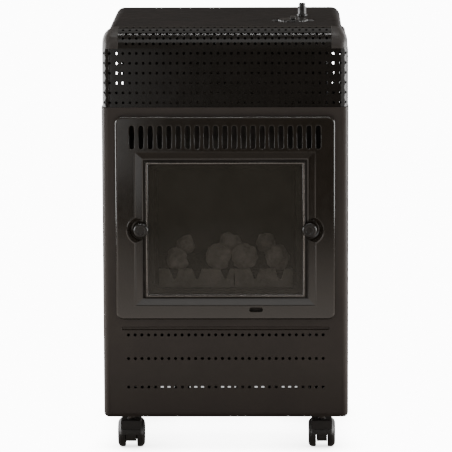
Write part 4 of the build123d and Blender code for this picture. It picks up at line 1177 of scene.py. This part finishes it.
def make_igniter():
    """The igniter's stepped collar over the lid, and the push button in it."""
    centre, outer, top = (igniter_x, igniter_y, 0), collar_high.x - igniter_x, collar_high.z
    sleeve, bore = outer - 1.95, igniter_bore
    collar = [
        (bore, top - 12), (bore, top - 0.9), (6.4, top - 0.2), (6.7, top), (sleeve, top - 0.35),
        (sleeve, lid_top + 4.6), (sleeve + 0.3, lid_top + 3.9), (outer - 0.8, lid_top + 3.5),
        (outer - 0.2, lid_top + 3.2), (outer, lid_top + 2.5), (outer, lid_top), (8, lid_top),
        (8, collar_low.z), (bore, collar_low.z), (bore, top - 12),
    ]
    bm = bmesh.new()
    turned(bm, collar, centre, Z, 40)
    piece("igniter_collar", bm, knob_plastic, ["piezo_body"])
    low, high = (corner.z for corner in box_mm("piezo_button"))
    button = [
        (0, low), (5.9, low), (5.9, high - 1.4), (5.6, high - 0.6), (4.9, high - 0.15), (4.2, high),
        (2.4, high - 0.35), (0, high - 0.5),
    ]
    bm = bmesh.new()
    turned(bm, button, centre, Z, 40)
    nodes = ["piezo_button"]
    piece("igniter_button", bm, knob_plastic, nodes, body="piezo_button")


# ---------------------------------------------------------------- fire side


def roughen(bm, layers, seed):
    """Moves every vertex along its normal by layers of noise, each a feature size and a height."""
    bm.normal_update()
    moves = []
    for vert in bm.verts:
        away = sum(
            noise.noise(vert.co / size + Vector((seed * 3.7, size, seed))) * height
            for size, height in layers
        )
        moves.append(vert.normal * away)
    for vert, move in zip(bm.verts, moves):
        vert.co += move


def dice(bm, low, high, axes, cell):
    """Divides a block into cells, so that it can be roughened."""
    for axis in axes:
        first, last = low.dot(axis), high.dot(axis)
        for step in range(1, int((last - first) / cell)):
            score(bm, bm.faces[:], axis * (first + step * cell), axis)


# Each coal is its place across, its width and height, and how far it leans.
front_coals = ((-84, 37, 40, 10), (-13.5, 42, 47, -12), (32, 44, 46, 14), (89, 41, 44, 0))
rear_coals = ((-70, 31, 33, 20), (5.5, 40, 37, 5), (70, 33, 36, -15))


def make_coals(name, node, lumps, seed):
    """Round ceramic coals with bulges, dents and pits."""
    low, high = box_mm(node)
    bm = bmesh.new()
    for number, (x, width, height, lean) in enumerate(lumps):
        lump = bmesh.new()
        bmesh.ops.create_icosphere(lump, subdivisions=4, radius=0.5)
        bmesh.ops.scale(lump, vec=(width, high.y - low.y + 1, height), verts=lump.verts[:])
        roughen(lump, ((15, 4.2), (7, 2.6), (2.8, 1.0)), seed + number * 5.3)
        turn = Matrix.Rotation(math.radians(lean), 3, "Y")
        bmesh.ops.rotate(lump, verts=lump.verts[:], cent=(0, 0, 0), matrix=turn)
        shift(lump, lump.verts[:], (x, (low.y + high.y) / 2, low.z + height / 2))
        mesh = bpy.data.meshes.new("lump")
        lump.to_mesh(mesh)
        lump.free()
        bm.from_mesh(mesh)
        bpy.data.meshes.remove(mesh)
    piece(name, bm, coal_ceramic, [node], crease=60)


ember_step_y, ember_step_z = -135.5, 309.5
ember_cell = 5


def make_ember_bed():
    """Charred, crumbling block that the coals lie on, stepped up to the back."""
    low, high = box_mm("ember_bed")
    bm = bmesh.new()
    block(bm, (low.x, low.y + 1.5, low.z), (high.x, ember_step_y, ember_step_z), 2)
    block(bm, (low.x, ember_step_y + 0.5, low.z), high, 2)
    dice(bm, low, high, (X, Z, Y), ember_cell)
    bmesh.ops.recalc_face_normals(bm, faces=bm.faces[:])
    roughen(bm, ((12, 1.2), (5, 0.8)), 6.3)
    piece("ember_block", bm, ember_ceramic, ["ember_bed"], crease=50)


fret_notches = (-89, -49.5, -1, 50, 93)
fret_seam = 14.5
fret_gap = 0.5
notch_mouth, notch_foot, notch_depth = 8.5, 1.6, 18
fret_cell = 2.6


def make_fret():
    """Low ceramic board in two halves, with flared notches in its upper edge."""
    low, high = box_mm("ceramic_fret")
    bm = bmesh.new()
    foot = high.z - notch_depth
    for start, end in ((low.x, fret_seam - fret_gap), (fret_seam + fret_gap, high.x)):
        points = [(start, low.z), (end, low.z), (end, high.z)]
        for x in sorted((notch for notch in fret_notches if start < notch < end), reverse=True):
            points += [(x + notch_mouth, high.z), (x + notch_foot, foot)]
            points += [(x - notch_foot, foot), (x - notch_mouth, high.z)]
        points.append((start, high.z))
        slab(bm, [(x, low.y, z) for x, z in points], Y * (high.y - low.y))
    round_edges(bm, edges_where(bm, lambda p: p.y < low.y + near), 1.5, 3)
    dice(bm, low, high, (X, Z), fret_cell)
    weld(bm)
    bmesh.ops.recalc_face_normals(bm, faces=bm.faces[:])
    roughen(bm, ((14, 0.9), (4, 0.5)), 4.1)
    piece("fret_boards", bm, fret_ceramic, ["ceramic_fret"], crease=50)


mouth_half, mouth_low, mouth_high = 121, 282, 493.3
mouth_corner = (46, 15)
mouth_top_corner = 6
# Half width, lower and upper edge of the ring's outline.
mouth_outer = (130.6, 279.6, 502)
# Outset, drop and depth of the mouth's rolled lip.
mouth_stations = ((1.6, 1.2, 0), (1.0, 0.8, -0.5), (0.4, 0.4, 0), (0, 0, 1.5), (0, 0, 6))


def mouth_outline(half, low, high, corner, top_corner, y):
    """Rectangle with round upper corners and wide, flat curves at its lower corners."""
    (width, height), top = corner, (top_corner, top_corner)
    points = arc((half - width, low + height), corner, -90, 0, 8)
    points += arc((half - top_corner, high - top_corner), top, 0, 90, 8)
    points += arc((top_corner - half, high - top_corner), top, 90, 180, 8)
    points += arc((width - half, low + height), corner, 180, 270, 8)
    return [(x, y, z) for x, z in points]


def make_fire_mouth():
    """Pressed ring round the mouth of the firebox, with wide lower corners and a rolled lip."""
    bm = bmesh.new()
    y = box_mm("firebox")[0].y + 1.8
    outer = closed_line(bm, mouth_outline(*mouth_outer, (1, 1), 1, y))
    inner = []
    for outset, drop, depth in mouth_stations:
        half, low, high = mouth_half + outset, mouth_low - drop, mouth_high + outset
        inner.append(
            closed_line(bm, mouth_outline(half, low, high, mouth_corner, mouth_top_corner, y + depth))
        )
    fill_between(bm, outer + inner[0])
    bridge(bm, inner)
    piece("fire_mouth", bm, fire_steel, toward=-Y, wall=1.0)


deflector_left, deflector_right = -177, 171.5
deflector_fold = 4


def make_deflector():
    """Folded plate under the guard that turns the warm air forwards, with its sides turned back."""
    low, high = box_mm("heat_deflector")
    fold_z = box_mm("partition")[1].z
    bm = bmesh.new()
    path = [(high.y, low.z), (high.y, fold_z), (low.y + 8, high.z), (low.y, high.z)]
    edges = open_line(bm, [(deflector_left, y, z) for y, z in path])[1]
    grown = bmesh.ops.extrude_edge_only(bm, edges=edges)["geom"]
    shift(bm, points_in(grown), X * (deflector_right - deflector_left))
    round_edges(bm, folds_where(bm, lambda p: True), deflector_fold, 4)
    sides = rims_where(bm, lambda p: fold_z + near < p.z < high.z - 2)
    sides = [edge for edge in sides if run(edge, X) < near]
    sink(bm, sides, [lambda p: p + Vector((0, deflector_fold, deflector_fold))])
    nodes = ["heat_deflector"]
    piece("heat_plate", bm, dull_zinc, nodes, toward=(0, 1, -1), wall=sheet)


def lay_the_lines():
    """Burner pipe, pilot pipe and ignition lead as smooth tubes along the routes of the solids."""
    burner_route = (
        (141, -50, 693), (175, -50, 693), (175, -135, 693), (175, -135, 296), (157, -135, 296),
    )
    pilot_route = (
        (141, -74, 681), (193, -74, 681), (193, -185, 681), (193, -185, 229), (45, -185, 229),
        (45, -185, 246),
    )
    lead_route = (
        (132, 10, 702), (132, 10, 650), (184, 10, 650), (184, -185, 650), (184, -185, 237),
        (59, -185, 237), (59, -185, 246),
    )
    drawn_tube("burner_line", burner_route, 3, 14, pipe_metal, ["burner_pipe"])
    drawn_tube("pilot_line", pilot_route, 2, 11, pipe_metal, ["pilot_pipe"])
    drawn_tube("spark_lead", lead_route, 1.3, 7, lead_rubber, ["ignition_lead"])


# ---------------------------------------------------------------- casters

hood_outline = ((9.4, -23.4), (19.4, -23.4), (27.2, -17), (27.2, 17), (19.4, 23.4), (9.4, 23.4))
hood_foot = 26
hood_top = 52
hood_wall = 1.7
saddle_radius = 26.4
saddle_half = 17.5
saddle_front = 27
saddle_foot = 36
socket_radius = 7.4
socket_top = 53.3
web_radius = 26
web_half = 9
web_foot = 14
# Radius and distance from the caster's middle, from the inner face over the tread to the hub.
wheel_outline = (
    (3.1, 9.9), (23.2, 9.9), (24.5, 10.6), (25, 11.8), (25, 16.5), (24.5, 18.8), (23.2, 20.8),
    (21.2, 22.3), (18.6, 23.2), (16.0, 23.3), (14.4, 22.8), (13.6, 21.6), (9.0, 21.0), (8.2, 21.5),
    (7.6, 22.7), (6.6, 23.4), (0, 23.4),
)


def make_caster(place):
    """Twin-wheel caster: a hood over the wheels, the web with its saddle and socket, and the wheels."""
    axle = axle_of(place)
    body, nodes, slot = f"caster_{place}", [f"caster_housing_{place}"], "caster_plastic"
    bm = bmesh.new()
    turned(bm, rounded(hood_outline, 3.0, 4)[1:-1], axle, X, 48)
    slice_off(bm, Z * hood_foot, -Z)
    slice_off(bm, Z * hood_top, Z)
    hood = f"caster_hood_{place}"
    piece(hood, bm, caster_nylon, nodes, body=body, toward=Z, wall=hood_wall)
    # Flat-topped saddle over the hood, which carries the stem's socket, and the web between the wheels.
    bm = bmesh.new()
    points = arc((axle.y, axle.z), (saddle_radius, saddle_radius), 90, 157.5, 9)
    front = axle.y - saddle_front
    points += [(front, saddle_foot), (front, hood_top), (axle.y, hood_top)]
    slab(bm, [(axle.x - saddle_half, y, z) for y, z in points], X * 2 * saddle_half)
    top = edges_where(bm, lambda p: p.z > hood_top - near and p.y < axle.y + 1)
    round_edges(bm, without(top, lambda p: p.y > axle.y - 1), 2.4, 3)
    socket = [
        (0, hood_top - 2), (socket_radius, hood_top - 2), (socket_radius, socket_top - 0.7),
        (socket_radius - 0.6, socket_top), (0, socket_top),
    ]
    turned(bm, socket, (axle.x, axle.y - caster_trail, 0), Z, 32)
    web = [(0, -web_half), (web_radius, -web_half), (web_radius, web_half), (0, web_half)]
    turned(bm, web, axle, X, 48)
    slice_off(bm, Z * web_foot, -Z, fill=True)
    piece(f"caster_web_{place}", bm, caster_nylon, nodes, body=body)
    for word, side in SIDES.items():
        bm = bmesh.new()
        turned(bm, wheel_outline, axle, X * side, 48)
        wheel = f"wheel_{place}_{word}"
        piece(wheel, bm, caster_nylon, [f"caster_{wheel}"], body=wheel)


# ---------------------------------------------------------------- rear cover

bulge_half = 158
bulge_low_z, bulge_high_z = 104, 554
bulge_lean = 24
bulge_corner = 30
bulge_ridge = 10
cover_half = 205.6
cover_foot_z = 86
cover_slots = 9
cover_slot_pitch = 26
cover_slot_level = 165
cover_slot_radius = 3.5
cover_slot_core = (0, 0, 13.5)
lug_x = 120
lug_bore = 3.15


def make_rear_cover():
    """Tilting rear cover: a pressed bulge with two rows of slots, and the two lugs it turns on."""
    bm = bmesh.new()
    skin_y = side_high.y + panel_gap + sheet
    open_box(bm, (-bulge_half, skin_y, bulge_low_z), (bulge_half, cover_high.y, bulge_high_z), (-Y,))
    middle_z = (bulge_low_z + bulge_high_z) / 2
    for vert in bm.verts:
        if vert.co.y > cover_high.y - near:
            vert.co.x -= math.copysign(bulge_lean, vert.co.x)
            vert.co.z -= math.copysign(bulge_lean, vert.co.z - middle_z)
    round_edges(bm, [edge for edge in bm.edges if run(edge, Y) > 1], bulge_corner, 8)
    round_edges(bm, folds_where(bm, lambda p: p.y > cover_high.y - near), bulge_ridge, 5)
    back = framed(bm, Y)
    slots = [
        hole(bm, (x, cover_high.y, middle_z + level), cover_slot_radius, cover_slot_core)
        for x in spaced(cover_slots, cover_slot_pitch)
        for level in (-cover_slot_level, cover_slot_level)
    ]
    punch(bm, back, slots)
    for slot in slots:
        sink(bm, slot, [lambda p: p - Y * 0.2, lambda p: p - Y * 1.2])
    base = rims_where(bm, lambda p: p.y < skin_y + near)
    corner_low, corner_high = Vector((-cover_half, 0, cover_foot_z)), Vector((cover_half, 0, cover_high.z))
    fill_between(bm, base + rectangle(bm, corner_low, corner_high, 0, skin_y))
    round_edges(bm, [edge for edge in bm.edges if len(edge.link_faces) == 2 and edge in base], 5, 3)
    nodes, body = ["rear_cover"], "rear_cover"
    piece("rear_door", bm, cabinet_paint, nodes, body=body, toward=Y, wall=sheet)
    bm = bmesh.new()
    lug = [(lug_bore, -cover_lug), (cover_lug, -cover_lug), (cover_lug, cover_lug), (lug_bore, cover_lug)]
    for side in SIDES.values():
        x = side * lug_x
        turned(bm, [*lug, lug[0]], (x, cover_pivot_y, cover_pivot_z), X, 24)
        block(bm, (x - cover_lug, 170.5, 79), (x + cover_lug, 175.4, 99), 0.5)
        block(bm, (x - cover_lug, cover_pivot_y, 83.4), (x + cover_lug, 175.4, 88), 0.5)
    piece("rear_door_lugs", bm, cabinet_paint, nodes, body=body)


# ---------------------------------------------------------------- camera, light and floor

# The camera's place is in metres.
camera_place = (0.0997, -6.2118, 1.3523)
camera_down = 9.04
camera_left = 0.94
camera_roll = -0.223
camera_lens = 284.36
heater_middle = (0, -0.15, 0.42)
warm_white = (1, 0.9, 0.82, 1)


def place_camera():
    """The photograph's view: a long lens from in front, a little above and to the right."""
    data = bpy.data.cameras.new("camera")
    data.lens = camera_lens
    data.sensor_width = 36
    data.clip_end = 60
    camera = new_object("camera", data)
    aim = Euler((math.radians(90 - camera_down), 0, math.radians(camera_left))).to_matrix()
    aim = aim @ Matrix.Rotation(math.radians(camera_roll), 3, "Z")
    camera.matrix_world = Matrix.Translation(camera_place) @ aim.to_4x4()
    bpy.context.scene.camera = camera


def softbox(name, azimuth, elevation, distance, width, height, glow, aim=heater_middle):
    """Soft light of an even glow, placed by its direction as seen from its aim, in metres."""
    data = bpy.data.lights.new(name, "AREA")
    data.shape = "RECTANGLE"
    data.size, data.size_y = width, height
    data.energy = math.pi * width * height * glow
    around, up = math.radians(azimuth), math.radians(elevation)
    away = Vector((math.sin(around) * math.cos(up), -math.cos(around) * math.cos(up), math.sin(up)))
    lamp = new_object(name, data)
    lamp.location = Vector(aim) + away * distance
    lamp.rotation_euler = away.to_track_quat("Z", "Y").to_euler()


def seen_or_cast(tree, cast, seen, output):
    """Gives camera rays one shader and the light that is cast another."""
    ray = add_node(tree, "ShaderNodeLightPath").outputs["Is Camera Ray"]
    mix = add_node(tree, "ShaderNodeMixShader", Fac=ray)
    tree.links.new(cast.outputs[0], mix.inputs[1])
    tree.links.new(seen.outputs[0], mix.inputs[2])
    add_node(tree, output, Surface=mix.outputs[0])


def light_the_studio():
    """White surroundings that cast little light, and soft lights all round the heater."""
    world = bpy.data.worlds.new("studio")
    bpy.context.scene.world = world
    world.use_nodes = True
    tree = world.node_tree
    tree.nodes.clear()
    seen = add_node(tree, "ShaderNodeBackground", Color=(1, 1, 1, 1), Strength=12.0)
    cast = add_node(tree, "ShaderNodeBackground", Color=warm_white, Strength=0.12)
    seen_or_cast(tree, cast, seen, "ShaderNodeOutputWorld")
    softbox("overhead_strip", 0, 80, 2.2, 3.0, 0.06, 34, aim=(0, -0.19, 0.73))
    softbox("left_strip", -34, 14, 3.0, 0.2, 1.6, 9)
    softbox("front_window", 14, 21, 3.5, 0.5, 0.35, 4)
    softbox("right_front_wall", 60, 8, 2.6, 2.8, 1.8, 0.9)
    softbox("right_rear_wall", 132, 8, 3.0, 2.6, 2.2, 3)
    softbox("right_strip", 92, 6, 2.6, 1.5, 1.8, 9)
    softbox("left_side_strip", -92, 6, 2.6, 1.5, 1.8, 9)
    softbox("left_rear_wall", -132, 8, 3.0, 2.6, 2.2, 5)
    softbox("ceiling", 180, 70, 2.6, 2.4, 1.6, 0.5)
    softbox("front_high", 0, 44, 3.0, 2.6, 0.9, 0.9)
    softbox("left_card", -12, 1, 3.0, 0.7, 0.5, 0.9, aim=(0, -0.15, 0.25))


def round_fade(tree, place, location, scale):
    """A round spot that fades from 1 in its middle to 0 at its edge."""
    spot = add_node(tree, "ShaderNodeMapping", Vector=place, Location=location, Scale=scale)
    kind = {"gradient_type": "SPHERICAL"}
    return add_node(tree, "ShaderNodeTexGradient", kind, Vector=spot.outputs[0]).outputs["Fac"]


def pale_floor():
    """White floor, a light table: shadows lie where it is touched and, softly, behind the heater.

    What the camera sees and the light that it casts are separate. It casts most light in a ring
    round the heater, and a patch more at the front left.
    """
    made = bpy.data.materials.new("pale_floor")
    made.use_nodes = True
    tree = made.node_tree
    tree.nodes.clear()
    place = add_node(tree, "ShaderNodeTexCoord").outputs["Object"]
    pool = round_fade(tree, place, (0, 0.12, 0), (0.4, 0.4, 0.4))
    wide = spread(tree, pool, 0.0, 1.35, 0.0, 0.7)
    under = spread(tree, pool, 1.0, 0.12, 0.72, 0.88)
    patch = spread(tree, round_fade(tree, place, (1.25, 2.875, 0), (1.25, 1.25, 1.25)), 0, 1.2, 0, 0.5)
    glow = reckon(tree, "MULTIPLY_ADD", wide, under, patch)
    contact = add_node(tree, "ShaderNodeAmbientOcclusion", {"samples": 8}, Distance=0.09).outputs["AO"]
    behind = spread(tree, round_fade(tree, place, (0, -1.4, 0), (4.5, 4.2, 1)), 0, -2.8, 0, 0.42)
    fading = reckon(tree, "EXPONENT", behind)
    bright = reckon(tree, "MULTIPLY", spread(tree, contact, 2.0, 12.0, 0.1, 0.8), fading)
    seen = add_node(tree, "ShaderNodeEmission", Strength=bright)
    cast = add_node(tree, "ShaderNodeEmission", Color=warm_white, Strength=glow)
    seen_or_cast(tree, cast, seen, "ShaderNodeOutputMaterial")
    return made


def lay_the_floor():
    """A wide floor under the heater, as a part of the stage."""
    bm = bmesh.new()
    bmesh.ops.create_grid(bm, x_segments=1, y_segments=1, size=14)
    mesh = bpy.data.meshes.new("floor")
    bm.to_mesh(mesh)
    bm.free()
    mesh.materials.append(pale_floor())
    new_object("floor", mesh)


# ---------------------------------------------------------------- the heater, piece by piece

make_guard()
make_cap("right")
make_cap("left")
make_front_panel()
make_side_panel("right")
make_side_panel("left")
make_base_tray()
make_lid()
make_stove_front()
make_window_frame()
make_hand_nut("left")
make_hand_nut("right")
make_control_knob()
make_igniter()
make_coals("coals_front", "front_coals", front_coals, 2.3)
make_coals("coals_rear", "rear_coals", rear_coals, 9.1)
make_ember_bed()
make_fret()
make_fire_mouth()
make_deflector()
lay_the_lines()
for caster in caster_places:
    make_caster(caster)
make_rear_cover()

# Nodes that stay as they are get the finish of their slot, or one of their own.
finishes = {
    "cabinet_paint": cabinet_paint,
    "guard_paint": guard_paint,
    "lid_paint": lid_paint,
    "cap_plastic": cap_plastic,
    "stove_paint": stove_enamel,
    "window_glass": glass_smoke,
    "seal": seal_tape,
    "zinc": zinc,
    "firebox_steel": fire_steel,
    "ceramic": fret_ceramic,
    "brass": turned_brass,
    "pipe_aluminium": pipe_metal,
    "valve_casting": cast_metal,
    "lead_rubber": lead_rubber,
    "control_plastic": knob_plastic,
    "caster_plastic": caster_nylon,
}
own_finishes = {"partition": dull_zinc, "caster_stems": stem_steel}
slot_of = {part["node"]: part["material_slot"] for part in frame["record"]["subparts"]}
for node, solid in frame["nodes"].items():
    solid.data.materials.clear()
    solid.data.materials.append(own_finishes.get(node, finishes[slot_of[node]]))
place_camera()
light_the_studio()
lay_the_floor()
